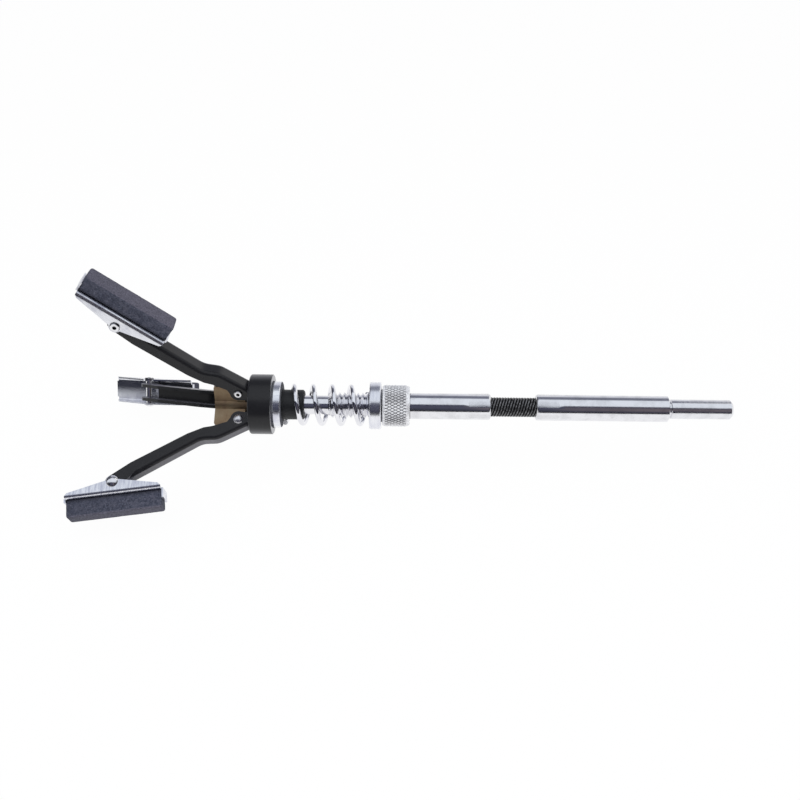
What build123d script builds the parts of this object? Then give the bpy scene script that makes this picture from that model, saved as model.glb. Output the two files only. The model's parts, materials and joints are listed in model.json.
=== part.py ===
"""Three-stone cylinder hone: sprung arms, adjusting nut and flexible shaft, in millimetres.

The tool's axis is X, with the head towards -X and the shank towards +X. The origin is on the
axis at the shoulder where the shank leaves its ferrule. The first arm points straight up.
"""

import os
from math import cos, hypot, radians, sin, sqrt

from build123d import *

# Shank and its ferrule
shank_dia = 6.0
shank_length = 19.0
shank_chamfer = 0.7
neck_dia = 5.2
neck_length = 0.8
ferrule_dia = 8.0
ferrule_length = 41.4
ferrule_edge = 0.8

# Flexible shaft
flex_dia = 6.0
flex_exposed = 13.8
flex_seat = 10.0
flex_core_dia = 2.4
crimp_count = 6
crimp_length = 7.1
crimp_width = 1.8
crimp_depth = 0.3
crimp_turn = 40.5

# Spindle: socket rod, thread, plain journal and stud, from the flexible shaft forwards
rod_length = 24.9
thread_dia = 7.9
thread_length = 24.9
thread_chamfer = 0.9
journal_dia = 5.8
stud_dia = 4.0
stud_length = 9.0

# Adjusting nut and thrust washer
nut_dia = 12.8
nut_length = 8.3
nut_chamfer = 0.6
nut_neck_dia = 10.0
nut_neck_length = 0.4
nut_clearance = 0.05
thrust_washer_dia = 14.5
thrust_washer_thickness = 3.6
thrust_washer_edge = 0.5

# Spring
spring_length = 26.8
spring_dia = 13.0
spring_wire = 1.5
spring_pitch = 5.85
spring_phase = 11.8

# Spring seat, guide bush and thrust collar
seat_dia = 14.2
seat_thickness = 4.0
seat_edge = 0.5
bush_dia = 9.2
bush_length = 6.8
bush_clearance = 0.08
bush_chamfer = 0.4
collar_dia = 18.4
collar_length = 6.6
collar_edge = 0.6
collar_recess = 0.9
recess_clearance = 0.4
collar_wall = 2.0
mouth_dia = 15.9
mouth_to_pivot = 3.1

# Hub
pivot_radius = 5.95
hub_nose = 7.5
hub_tail = 4.6
hub_core_dia = 5.8
lug_width = 3.4
lug_radius = 1.72
lug_clearance = 0.05
hub_edge = 0.3

# Arms
splay = 30.4
arm_swings = (36.8, 30.4, 31.5)
fold_limit = 29.0
cam_rate = 5.0
cam_clearance = 0.08
arm_reach = 41.1
arm_sheet = 1.0
arm_bend_radius = 1.2
arm_rear_rise = 2.6
arm_joggle_start = 8.4
arm_joggle_end = 12.8
arm_front_rise = 0.3
arm_web_end = 36.6
arm_depth = 3.6
arm_joggle_radius = 6.0
arm_pivot_lobe = 2.45
arm_tip_lobe = 2.55
arm_tip_rise = 0.5
tip_taper = 7.0
flange_front = 15.5
flange_step = (10.4, 0.6)
flange_waist = (7.8, 1.75)
flange_neck = (3.4, 0.85)
tail_root = (1.9, 1.55)
tail_start = (4.2, 0.1)
cut_margin = 2.0
match_tolerance = 0.001

# Rivets
arm_rivet_dia = 1.9
holder_rivet_dia = 2.2
rivet_clearance = 0.05
rivet_head_factor = 1.6
rivet_head_height = 0.75
rivet_tail_factor = 1.35
rivet_tail_height = 0.55
rivet_tail_bore = 0.5

# Stone holders and stones
stone_length = 28.0
stone_width = 5.7
stone_thickness = 5.4
stone_edge = 0.25
holder_sheet = 0.5
holder_width = 8.5
holder_bend_radius = 1.2
holder_rise = 3.7
ear_end_height = 1.7
ear_lobe = 1.85
ear_corner = 0.8
tab_width = 5.4
tall_tab = 2.5
short_tab = 0.7
holder_tilts = (37.5, 8.0, 18.0)
holder_turns = (0.0, 180.0, 0.0)
arm_angles = (0.0, 120.0, 240.0)

# Stations along the axis, from the shank forwards
rear_ferrule_end = -ferrule_length
rod_end = rear_ferrule_end - flex_exposed
thread_end = rod_end - rod_length
washer_rear = thread_end - nut_length - nut_neck_length
washer_front = washer_rear - thrust_washer_thickness
seat_rear = washer_front - spring_length
seat_front = seat_rear - seat_thickness
journal_start = thread_end - thread_length
collar_rear = seat_front + collar_recess
collar_mouth = collar_rear - collar_length
collar_floor = seat_front - collar_wall
pivot_x = collar_mouth - mouth_to_pivot
nose_x = pivot_x - hub_nose
journal_end = pivot_x + hub_tail
half_arm = lug_width / 2 + lug_clearance + arm_sheet

os.makedirs("parts", exist_ok=True)


def save(piece, name):
    """Label a finished piece and write it under its own name."""
    piece.label = name
    export_step(piece, f"parts/{name}.step")


# Shank: the ferrule is crimped on the flexible shaft and turned in one with the drive shank.
with BuildPart() as shank:
    with BuildSketch(Plane.XZ):
        with BuildLine():
            Polyline(
                (rear_ferrule_end, 0),
                (rear_ferrule_end, ferrule_dia / 2),
                (-neck_length, ferrule_dia / 2),
                (-neck_length, neck_dia / 2),
                (0, neck_dia / 2),
                (0, shank_dia / 2),
                (shank_length, shank_dia / 2),
                (shank_length, 0),
                close=True,
            )
        make_face()
    revolve(axis=Axis.X)
    chamfer(shank.edges().filter_by(GeomType.CIRCLE).sort_by(Axis.X)[-1], shank_chamfer)
    fillet(shank.edges().filter_by(GeomType.CIRCLE).sort_by(Axis.X)[0], ferrule_edge)
    with BuildSketch(Plane.YZ.offset(rear_ferrule_end)):
        Circle(flex_dia / 2)
    extrude(amount=flex_seat, mode=Mode.SUBTRACT)
    for step in range(crimp_count):
        tangent = Plane.XY.rotated((crimp_turn + step * 360 / crimp_count, 0, 0))
        with BuildSketch(tangent.offset(ferrule_dia / 2 - crimp_depth)):
            with Locations((rear_ferrule_end + (crimp_length - crimp_width) / 2, 0)):
                SlotOverall(crimp_length + crimp_width, crimp_width)
        extrude(amount=ferrule_dia, mode=Mode.SUBTRACT)
save(shank.part, "shank")

# Flexible shaft: a wound wire sleeve on a straight core, both held in the two sockets.
with BuildPart() as flex_winding:
    with BuildSketch(Plane.YZ.offset(rod_end - flex_seat)):
        Circle(flex_dia / 2)
        Circle(flex_core_dia / 2, mode=Mode.SUBTRACT)
    extrude(amount=flex_exposed + 2 * flex_seat)
save(flex_winding.part, "flex_winding")

with BuildPart() as flex_core:
    with BuildSketch(Plane.YZ.offset(rod_end - flex_seat)):
        Circle(flex_core_dia / 2)
    extrude(amount=flex_exposed + 2 * flex_seat)
save(flex_core.part, "flex_core")

# Spindle: crimped socket rod, threaded length, plain journal for the sliding parts, hub stud.
with BuildPart() as spindle:
    with BuildSketch(Plane.XZ):
        with BuildLine():
            Polyline(
                (rod_end, 0),
                (rod_end, ferrule_dia / 2),
                (thread_end, ferrule_dia / 2),
                (thread_end, thread_dia / 2),
                (journal_start + thread_chamfer, thread_dia / 2),
                (journal_start, journal_dia / 2),
                (journal_end, journal_dia / 2),
                (journal_end, stud_dia / 2),
                (journal_end - stud_length, stud_dia / 2),
                (journal_end - stud_length, 0),
                close=True,
            )
        make_face()
    revolve(axis=Axis.X)
    fillet(spindle.edges().filter_by(GeomType.CIRCLE).sort_by(Axis.X)[-1], ferrule_edge)
    with BuildSketch(Plane.YZ.offset(rod_end)):
        Circle(flex_dia / 2)
    extrude(amount=-flex_seat, mode=Mode.SUBTRACT)
    for step in range(crimp_count):
        tangent = Plane.XY.rotated((crimp_turn + step * 360 / crimp_count, 0, 0))
        with BuildSketch(tangent.offset(ferrule_dia / 2 - crimp_depth)):
            with Locations((rod_end - (crimp_length - crimp_width) / 2, 0)):
                SlotOverall(crimp_length + crimp_width, crimp_width)
        extrude(amount=ferrule_dia, mode=Mode.SUBTRACT)
save(spindle.part, "spindle")

# Adjusting nut: a short neck bears on the thrust washer.
with BuildPart() as adjusting_nut:
    with BuildSketch(Plane.YZ.offset(washer_rear + nut_neck_length)):
        Circle(nut_dia / 2)
    extrude(amount=nut_length)
    chamfer(adjusting_nut.edges().filter_by(GeomType.CIRCLE), nut_chamfer)
    with BuildSketch(Plane.YZ.offset(washer_rear)):
        Circle(nut_neck_dia / 2)
    extrude(amount=nut_neck_length)
    with BuildSketch(Plane.YZ.offset(washer_rear)):
        Circle(thread_dia / 2 + nut_clearance)
    extrude(amount=nut_neck_length + nut_length, mode=Mode.SUBTRACT)
save(adjusting_nut.part, "adjusting_nut")

with BuildPart() as thrust_washer:
    with BuildSketch(Plane.YZ.offset(washer_front)):
        Circle(thrust_washer_dia / 2)
    extrude(amount=thrust_washer_thickness)
    fillet(thrust_washer.edges().filter_by(GeomType.CIRCLE), thrust_washer_edge)
    with BuildSketch(Plane.YZ.offset(washer_front)):
        Circle(thread_dia / 2 + nut_clearance)
    extrude(amount=thrust_washer_thickness, mode=Mode.SUBTRACT)
save(thrust_washer.part, "thrust_washer")

# Spring: an open coil, its ends ground flat on the two seats.
spring_mean = (spring_dia - spring_wire) / 2
with BuildPart() as spring:
    with BuildLine():
        coil = Helix(
            spring_pitch,
            spring_length + 2 * spring_wire,
            spring_mean,
            center=(seat_rear - spring_wire, 0, 0),
            direction=(1, 0, 0),
        )
    with BuildSketch(Plane(coil @ 0, z_dir=coil % 0)):
        Circle(spring_wire / 2)
    sweep(is_frenet=True)
    split(bisect_by=Plane.YZ.offset(seat_rear), keep=Keep.TOP)
    split(bisect_by=Plane.YZ.offset(washer_front), keep=Keep.BOTTOM)
save(spring.part.rotate(Axis.X, spring_phase), "spring")

# Spring seat washer, on the guide bush and half sunk in the collar's rear recess.
with BuildPart() as spring_seat_washer:
    with BuildSketch(Plane.YZ.offset(seat_front)):
        Circle(seat_dia / 2)
    extrude(amount=seat_thickness)
    fillet(spring_seat_washer.edges().filter_by(GeomType.CIRCLE), seat_edge)
    with BuildSketch(Plane.YZ.offset(seat_front)):
        Circle(bush_dia / 2)
    extrude(amount=seat_thickness, mode=Mode.SUBTRACT)
save(spring_seat_washer.part, "spring_seat_washer")

with BuildPart() as guide_bush:
    with BuildSketch(Plane.YZ.offset(collar_floor)):
        Circle(bush_dia / 2)
        Circle(journal_dia / 2 + bush_clearance, mode=Mode.SUBTRACT)
    extrude(amount=collar_wall + seat_thickness + bush_length)
    tail_rim = guide_bush.edges().filter_by(GeomType.CIRCLE).group_by(Axis.X)[-1]
    chamfer(tail_rim.sort_by(SortBy.RADIUS)[-1], bush_chamfer)
save(guide_bush.part, "guide_bush")

# Thrust collar: its mouth bears on the three arm tails, its recess takes the spring seat.
with BuildPart() as thrust_collar:
    with BuildSketch(Plane.YZ.offset(collar_mouth)):
        Circle(collar_dia / 2)
    extrude(amount=collar_length)
    fillet(thrust_collar.edges().filter_by(GeomType.CIRCLE), collar_edge)
    with BuildSketch(Plane.YZ.offset(collar_mouth)):
        Circle(mouth_dia / 2)
    extrude(amount=collar_floor - collar_mouth, mode=Mode.SUBTRACT)
    with BuildSketch(Plane.YZ.offset(collar_rear)):
        Circle(seat_dia / 2 + recess_clearance)
    extrude(amount=-collar_recess, mode=Mode.SUBTRACT)
    with BuildSketch(Plane.YZ.offset(collar_floor)):
        Circle(bush_dia / 2)
    extrude(amount=collar_wall, mode=Mode.SUBTRACT)
save(thrust_collar.part, "thrust_collar")

# Hub: three lugs on a core, each lug bored across for its arm's rivet.
with BuildPart() as hub:
    with BuildSketch(Plane.YZ.offset(nose_x)):
        Circle(hub_core_dia / 2)
    extrude(amount=journal_end - nose_x)
    for angle in arm_angles:
        lug_plane = Plane.XZ.rotated((angle, 0, 0))
        with BuildSketch(lug_plane):
            with Locations((pivot_x, pivot_radius)):
                Circle(lug_radius)
            with BuildLine():
                Polyline(
                    (nose_x, 0),
                    (nose_x, pivot_radius + lug_radius - 2 * hub_edge),
                    (nose_x + 2 * hub_edge, pivot_radius + lug_radius),
                    (pivot_x, pivot_radius + lug_radius),
                    (pivot_x + lug_radius, pivot_radius),
                    (pivot_x + lug_radius, 0),
                    close=True,
                )
            make_face()
        extrude(amount=lug_width / 2, both=True)
        with BuildSketch(lug_plane):
            with Locations((pivot_x, pivot_radius)):
                Circle(arm_rivet_dia / 2 + rivet_clearance)
        extrude(amount=lug_width, both=True, mode=Mode.SUBTRACT)
    with BuildSketch(Plane.YZ.offset(journal_end)):
        Circle(stud_dia / 2)
    extrude(amount=-stud_length, mode=Mode.SUBTRACT)
save(hub.part, "hub")

# Arms. In an arm's own frame the pivot is the origin, the tip rivet lies on -X and +Z is outwards.
# The tail is cut for an arm at the angle called splay; one that stands wider has slack at its tail.
bend_reach = sqrt((mouth_dia / 2 - arm_bend_radius) ** 2 - (half_arm - arm_bend_radius) ** 2)
mouth_height = arm_bend_radius + bend_reach - pivot_radius


def cam_point(fold, depth):
    """A point on the tail that meets the collar's mouth at this fold, sunk by depth."""
    points = []
    for angle in (fold - 0.5, fold, fold + 0.5):
        swing = radians(splay - angle)
        reach = mouth_to_pivot + cam_rate * radians(angle)
        points.append(
            (
                reach * cos(swing) - mouth_height * sin(swing),
                reach * sin(swing) + mouth_height * cos(swing),
            )
        )
    run = points[2][0] - points[0][0]
    drop = points[2][1] - points[0][1]
    length = hypot(run, drop)
    return (points[1][0] + drop / length * depth, points[1][1] - run / length * depth)


def web_line(depth):
    """Corners of the web's surface at this depth under its outer face, from mouth to tip."""
    lean = depth * 0.27
    return [
        (-arm_joggle_start + lean, arm_rear_rise - depth),
        (-arm_joggle_end + lean, arm_front_rise - depth),
        (-arm_web_end, arm_front_rise + arm_tip_rise - depth),
    ]


def round_joggle(depth):
    """Round the joggle's two corners in the open sketch, at this depth under the outer face."""
    radii = (arm_joggle_radius - depth, arm_joggle_radius + depth)
    for corner, radius in zip(web_line(depth), radii):
        fillet(vertices().sort_by_distance((corner[0], corner[1], 0))[0], radius)


folds = [fold_limit * part / 4 for part in range(5)]
tail_outer = [cam_point(fold, cam_clearance) for fold in folds]
tail_inner = [cam_point(fold, cam_clearance + arm_sheet) for fold in folds]
free_edge = arm_front_rise - arm_depth

with BuildPart() as arm:
    with BuildSketch(Plane.XZ):
        with BuildLine():
            Spline(*tail_outer)
            Polyline(
                tail_outer[0],
                *web_line(0),
                (-arm_reach, arm_tip_lobe),
                (-arm_reach, -arm_tip_lobe),
                (-arm_reach + tip_taper, free_edge),
                (-flange_front, free_edge),
                (-flange_step[0], free_edge + flange_step[1]),
                (-flange_waist[0], -flange_waist[1]),
                (-flange_neck[0], -flange_neck[1]),
                (0, -arm_pivot_lobe),
                (tail_root[0], -tail_root[1]),
                (tail_start[0], tail_start[1]),
                tail_inner[-1],
                tail_outer[-1],
            )
        make_face()
        round_joggle(0)
        with Locations((0, 0)):
            Circle(arm_pivot_lobe)
        with Locations((-arm_reach, 0)):
            Circle(arm_tip_lobe)
    extrude(amount=half_arm, both=True)
    bend_edges = arm.edges().filter_by(lambda e: abs(abs(e.center().Y) - half_arm) < match_tolerance)
    bend_edges = bend_edges.filter_by(
        lambda e: e.center().Z > 0.2 and -arm_web_end < e.center().X < tail_start[0]
        and (e.geom_type != GeomType.CIRCLE or e.radius > arm_tip_lobe + arm_sheet)
    )
    fillet(bend_edges, arm_bend_radius)
    with BuildSketch(Plane.XZ):
        with BuildLine():
            Spline(*tail_inner)
            Polyline(
                tail_inner[0],
                *web_line(arm_sheet),
                (-arm_web_end, 2 * arm_tip_lobe),
                (-arm_reach - 2 * arm_tip_lobe, 2 * arm_tip_lobe),
                (-arm_reach - 2 * arm_tip_lobe, -2 * arm_depth),
                (tail_inner[-1][0] + cut_margin, -2 * arm_depth),
                (tail_inner[-1][0] + cut_margin, tail_inner[-1][1]),
                tail_inner[-1],
            )
        make_face()
        round_joggle(arm_sheet)
    extrude(amount=half_arm - arm_sheet, both=True, mode=Mode.SUBTRACT)
    with BuildSketch(Plane.XZ):
        Circle(arm_rivet_dia / 2)
        with Locations((-arm_reach, 0)):
            Circle(holder_rivet_dia / 2 + rivet_clearance)
    extrude(amount=half_arm, both=True, mode=Mode.SUBTRACT)


def rivet(shaft_dia, grip):
    """A rivet along Y through the origin: a dome on the +Y side, a rolled tail on the -Y side."""
    half = grip / 2
    head = shaft_dia / 2 * rivet_head_factor
    tail = shaft_dia / 2 * rivet_tail_factor
    crown = (head**2 + rivet_head_height**2) / (2 * rivet_head_height)
    crown_side = sqrt(crown**2 - (head / 2) ** 2) - crown + rivet_head_height
    with BuildPart() as body:
        with BuildSketch(Plane.XY):
            with BuildLine():
                Polyline(
                    (0, half + rivet_head_height),
                    (0, -half),
                    (shaft_dia / 2 * rivet_tail_bore, -half),
                    (shaft_dia / 2 * rivet_tail_bore, -half - rivet_tail_height),
                    (tail - rivet_tail_height / 2, -half - rivet_tail_height),
                    (tail, -half - rivet_tail_height / 2),
                    (tail, -half),
                    (shaft_dia / 2, -half),
                    (shaft_dia / 2, half),
                    (head, half),
                )
                ThreePointArc(
                    (head, half),
                    (head / 2, half + crown_side),
                    (0, half + rivet_head_height),
                )
            make_face()
        revolve(axis=Axis.Y)
    return body.part


# Stone holder. In its own frame the rivet is the origin, the far end lies on -X, +Z is outwards.
half_holder = holder_width / 2
half_length = stone_length / 2 + holder_sheet
ear_length = stone_length / 2
ear_low = holder_rise - ear_end_height
with BuildPart() as holder:
    with BuildSketch(Plane.XZ):
        with BuildLine():
            Polyline(
                (-half_length, holder_rise),
                (-half_length, holder_rise - holder_sheet),
                (-ear_length, holder_rise - holder_sheet),
                (-ear_length, ear_low + ear_corner),
                (-ear_length + ear_corner, ear_low),
                (-ear_lobe * 0.96, -ear_lobe * 0.27),
                (ear_lobe * 0.96, -ear_lobe * 0.27),
                (ear_length - ear_corner, ear_low),
                (ear_length, ear_low + ear_corner),
                (ear_length, holder_rise - holder_sheet),
                (half_length, holder_rise - holder_sheet),
                (half_length, holder_rise),
                close=True,
            )
        make_face()
        Circle(ear_lobe)
    extrude(amount=half_holder, both=True)
    top_edges = holder.edges().filter_by(Axis.X).group_by(Axis.Z)[-1]
    fillet(top_edges, holder_bend_radius)
    with BuildSketch(Plane.YZ.offset(-half_length)):
        with BuildLine():
            Polyline(
                (-half_holder + holder_sheet, -2 * ear_lobe),
                (-half_holder + holder_sheet, holder_rise - holder_sheet),
                (half_holder - holder_sheet, holder_rise - holder_sheet),
                (half_holder - holder_sheet, -2 * ear_lobe),
                close=True,
            )
        make_face()
        fillet(vertices().group_by(Axis.Y)[-1], holder_bend_radius - holder_sheet)
    extrude(amount=2 * half_length, mode=Mode.SUBTRACT)
    with BuildSketch(Plane.XY):
        with Locations((-half_length, 0), (half_length, 0)):
            Rectangle(2 * holder_sheet, 2 * holder_width)
            Rectangle(2 * holder_sheet, tab_width, mode=Mode.SUBTRACT)
    extrude(amount=2 * holder_rise, mode=Mode.SUBTRACT)
    with BuildSketch(Plane.YZ.offset(-half_length)):
        with Locations((0, holder_rise + tall_tab / 2)):
            Rectangle(tab_width, tall_tab)
    extrude(amount=holder_sheet)
    with BuildSketch(Plane.YZ.offset(half_length - holder_sheet)):
        with Locations((0, holder_rise + short_tab / 2)):
            Rectangle(tab_width, short_tab)
    extrude(amount=holder_sheet)
    with BuildSketch(Plane.XZ):
        Circle(holder_rivet_dia / 2)
    extrude(amount=half_holder, both=True, mode=Mode.SUBTRACT)

with BuildPart() as stone:
    with BuildSketch(Plane.XY.offset(holder_rise)):
        Rectangle(stone_length, stone_width)
    extrude(amount=stone_thickness)
    chamfer(stone.edges().group_by(Axis.Z)[-1], stone_edge)

arm_rivet = rivet(arm_rivet_dia, 2 * half_arm)
holder_rivet = rivet(holder_rivet_dia, holder_width)

# The three arms, spaced round the axis, each with its holder at its own tilt.
for number, angle in enumerate(arm_angles, start=1):
    around = Location((0, 0, 0), (angle, 0, 0))
    swing = arm_swings[number - 1]
    pivot = around * Location((pivot_x, 0, pivot_radius)) * Location((0, 0, 0), (0, swing, 0))
    tilt = holder_tilts[number - 1] - swing
    tip = pivot * Location((-arm_reach, 0, 0)) * Location((0, 0, 0), (0, tilt, 0))
    turned = tip * Location((0, 0, 0), (0, 0, holder_turns[number - 1]))
    placed = {
        "arm": (arm.part, pivot),
        "arm_rivet": (arm_rivet, pivot),
        "holder_rivet": (holder_rivet, tip),
        "stone_holder": (holder.part, turned),
        "stone": (stone.part, turned),
    }
    for name, (piece, place) in placed.items():
        with BuildPart() as copy:
            with Locations(place):
                add(piece)
        save(copy.part, f"{name}_{number}")
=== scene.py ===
"""Studio scene of a three-stone cylinder hone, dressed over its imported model.

The tool's axis is X, its head towards -X and its drive shank towards +X. Sizes in the classes
are in millimetres, and the meshes are in metres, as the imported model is.
"""

from __future__ import annotations

import json
import logging
import math
from dataclasses import dataclass, field
from enum import Enum
from typing import Any, Callable, Mapping, Sequence, Union

import bmesh
import bpy
from mathutils import Euler, Matrix, Vector
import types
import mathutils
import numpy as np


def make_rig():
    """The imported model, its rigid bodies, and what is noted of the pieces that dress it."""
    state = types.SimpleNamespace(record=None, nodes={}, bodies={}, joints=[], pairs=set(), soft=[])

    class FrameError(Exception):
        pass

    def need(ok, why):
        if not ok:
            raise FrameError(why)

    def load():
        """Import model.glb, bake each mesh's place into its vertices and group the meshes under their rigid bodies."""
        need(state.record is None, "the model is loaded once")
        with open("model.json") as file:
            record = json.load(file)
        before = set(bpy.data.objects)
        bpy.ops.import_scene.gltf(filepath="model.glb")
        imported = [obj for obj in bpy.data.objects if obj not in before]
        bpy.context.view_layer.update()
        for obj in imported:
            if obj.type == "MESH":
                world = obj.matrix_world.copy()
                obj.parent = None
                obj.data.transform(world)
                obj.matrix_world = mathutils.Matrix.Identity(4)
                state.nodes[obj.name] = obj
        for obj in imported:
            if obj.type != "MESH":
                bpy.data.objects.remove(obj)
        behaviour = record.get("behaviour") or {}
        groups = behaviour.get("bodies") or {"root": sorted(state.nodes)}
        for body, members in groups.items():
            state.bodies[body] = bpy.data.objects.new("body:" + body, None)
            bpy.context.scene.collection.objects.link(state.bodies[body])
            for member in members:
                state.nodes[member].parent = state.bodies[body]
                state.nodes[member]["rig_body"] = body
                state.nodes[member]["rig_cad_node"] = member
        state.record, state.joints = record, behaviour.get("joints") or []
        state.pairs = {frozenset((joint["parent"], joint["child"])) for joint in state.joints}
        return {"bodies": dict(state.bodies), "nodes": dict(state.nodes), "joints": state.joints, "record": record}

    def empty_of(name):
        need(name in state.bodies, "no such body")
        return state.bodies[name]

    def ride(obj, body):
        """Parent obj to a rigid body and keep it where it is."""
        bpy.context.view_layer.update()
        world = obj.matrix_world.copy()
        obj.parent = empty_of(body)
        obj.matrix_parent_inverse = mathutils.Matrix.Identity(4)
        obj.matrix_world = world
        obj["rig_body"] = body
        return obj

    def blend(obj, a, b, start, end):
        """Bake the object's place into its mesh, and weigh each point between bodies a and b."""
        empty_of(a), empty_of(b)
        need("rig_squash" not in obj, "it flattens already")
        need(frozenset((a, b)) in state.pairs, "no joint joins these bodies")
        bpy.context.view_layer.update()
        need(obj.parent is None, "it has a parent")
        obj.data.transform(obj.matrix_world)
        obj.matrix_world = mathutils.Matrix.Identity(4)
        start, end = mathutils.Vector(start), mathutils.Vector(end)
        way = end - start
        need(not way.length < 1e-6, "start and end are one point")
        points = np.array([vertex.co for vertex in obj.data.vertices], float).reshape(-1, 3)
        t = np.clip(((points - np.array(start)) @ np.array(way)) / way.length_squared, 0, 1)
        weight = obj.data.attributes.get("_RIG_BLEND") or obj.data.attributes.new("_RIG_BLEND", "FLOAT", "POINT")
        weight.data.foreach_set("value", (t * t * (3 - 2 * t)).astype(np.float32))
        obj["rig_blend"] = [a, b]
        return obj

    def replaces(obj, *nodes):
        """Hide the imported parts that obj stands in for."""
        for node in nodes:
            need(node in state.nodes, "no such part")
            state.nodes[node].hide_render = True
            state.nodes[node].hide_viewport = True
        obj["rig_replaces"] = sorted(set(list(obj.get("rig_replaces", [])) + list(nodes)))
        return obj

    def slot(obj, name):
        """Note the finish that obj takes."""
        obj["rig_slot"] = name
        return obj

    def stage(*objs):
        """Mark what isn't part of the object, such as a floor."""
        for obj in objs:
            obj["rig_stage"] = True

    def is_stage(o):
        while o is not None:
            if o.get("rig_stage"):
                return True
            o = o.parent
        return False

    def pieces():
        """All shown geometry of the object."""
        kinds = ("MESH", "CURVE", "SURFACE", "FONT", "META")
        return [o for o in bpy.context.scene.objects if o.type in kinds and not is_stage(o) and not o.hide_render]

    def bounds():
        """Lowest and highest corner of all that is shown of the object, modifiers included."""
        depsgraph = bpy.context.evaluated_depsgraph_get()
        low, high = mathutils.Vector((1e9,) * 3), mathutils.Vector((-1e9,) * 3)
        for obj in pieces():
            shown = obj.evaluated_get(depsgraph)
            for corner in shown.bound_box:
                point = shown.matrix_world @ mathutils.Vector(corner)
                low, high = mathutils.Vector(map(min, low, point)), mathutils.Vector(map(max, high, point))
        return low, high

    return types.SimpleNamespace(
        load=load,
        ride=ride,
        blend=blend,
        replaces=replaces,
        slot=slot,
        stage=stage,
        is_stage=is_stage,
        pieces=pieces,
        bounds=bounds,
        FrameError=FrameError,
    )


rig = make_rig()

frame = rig.load()

MM = 0.001
FULL_TURN = 2 * math.pi
NEAR = MM / 100  # how near a point has to be to be picked
FINE = 192  # facets round the crimped pieces
LOG = logging.getLogger("cylinder_hone")

Stations = Sequence[tuple[float, float]]
Colour = tuple[float, float, float]
Piece = bpy.types.Object


# ---------------------------------------------------------------- shader arithmetic


def arithmetic(operation: str, number_first: bool = False) -> Callable[[Tap, Reading], Tap]:
    """Make one of a tap's arithmetic methods.

    Args:
        operation: Blender's name of the sum.
        number_first: Whether the number stands before the tap.

    Returns:
        The method, which adds a Math node and hands back its value.
    """

    def method(self: Tap, other: Reading) -> Tap:
        """Add the Math node."""
        pair = (other, self) if number_first else (self, other)
        return self.graph.node("ShaderNodeMath", {"operation": operation}, dict(enumerate(pair)))

    return method


class Tap:
    """An output socket that takes part in Python arithmetic by adding Math nodes."""

    def __init__(self, graph: Graph, socket: bpy.types.NodeSocket) -> None:
        """Hold a socket.

        Args:
            graph: The graph that the socket belongs to.
            socket: The output socket.
        """
        self.graph = graph
        self.socket = socket

    def also(self, output: Union[str, int]) -> Tap:
        """Another output of the same node."""
        return Tap(self.graph, self.socket.node.outputs[output])

    __add__, __radd__ = arithmetic("ADD"), arithmetic("ADD", number_first=True)
    __sub__, __rsub__ = arithmetic("SUBTRACT"), arithmetic("SUBTRACT", number_first=True)
    __mul__, __truediv__, __pow__ = map(arithmetic, ("MULTIPLY", "DIVIDE", "POWER"))

    def above(self, floor: float, ceiling: float) -> Tap:
        """Rise smoothly from 0 at the floor to 1 at the ceiling.

        Args:
            floor: Value where the mask starts.
            ceiling: Value where the mask is full.

        Returns:
            The mask.
        """
        return self.graph.node(
            "ShaderNodeMapRange",
            {"interpolation_type": "SMOOTHSTEP"},
            {"Value": self, "From Min": floor, "From Max": ceiling},
        )

    def within(self, rise: tuple[float, float], fall: tuple[float, float]) -> Tap:
        """A mask that is full between its rise and its fall.

        Args:
            rise: Where it starts and where it is full.
            fall: Where it starts to fade and where it is gone.

        Returns:
            The mask.
        """
        return self.above(*rise) * (1 - self.above(*fall))


Reading = Union[Tap, float]


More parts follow.
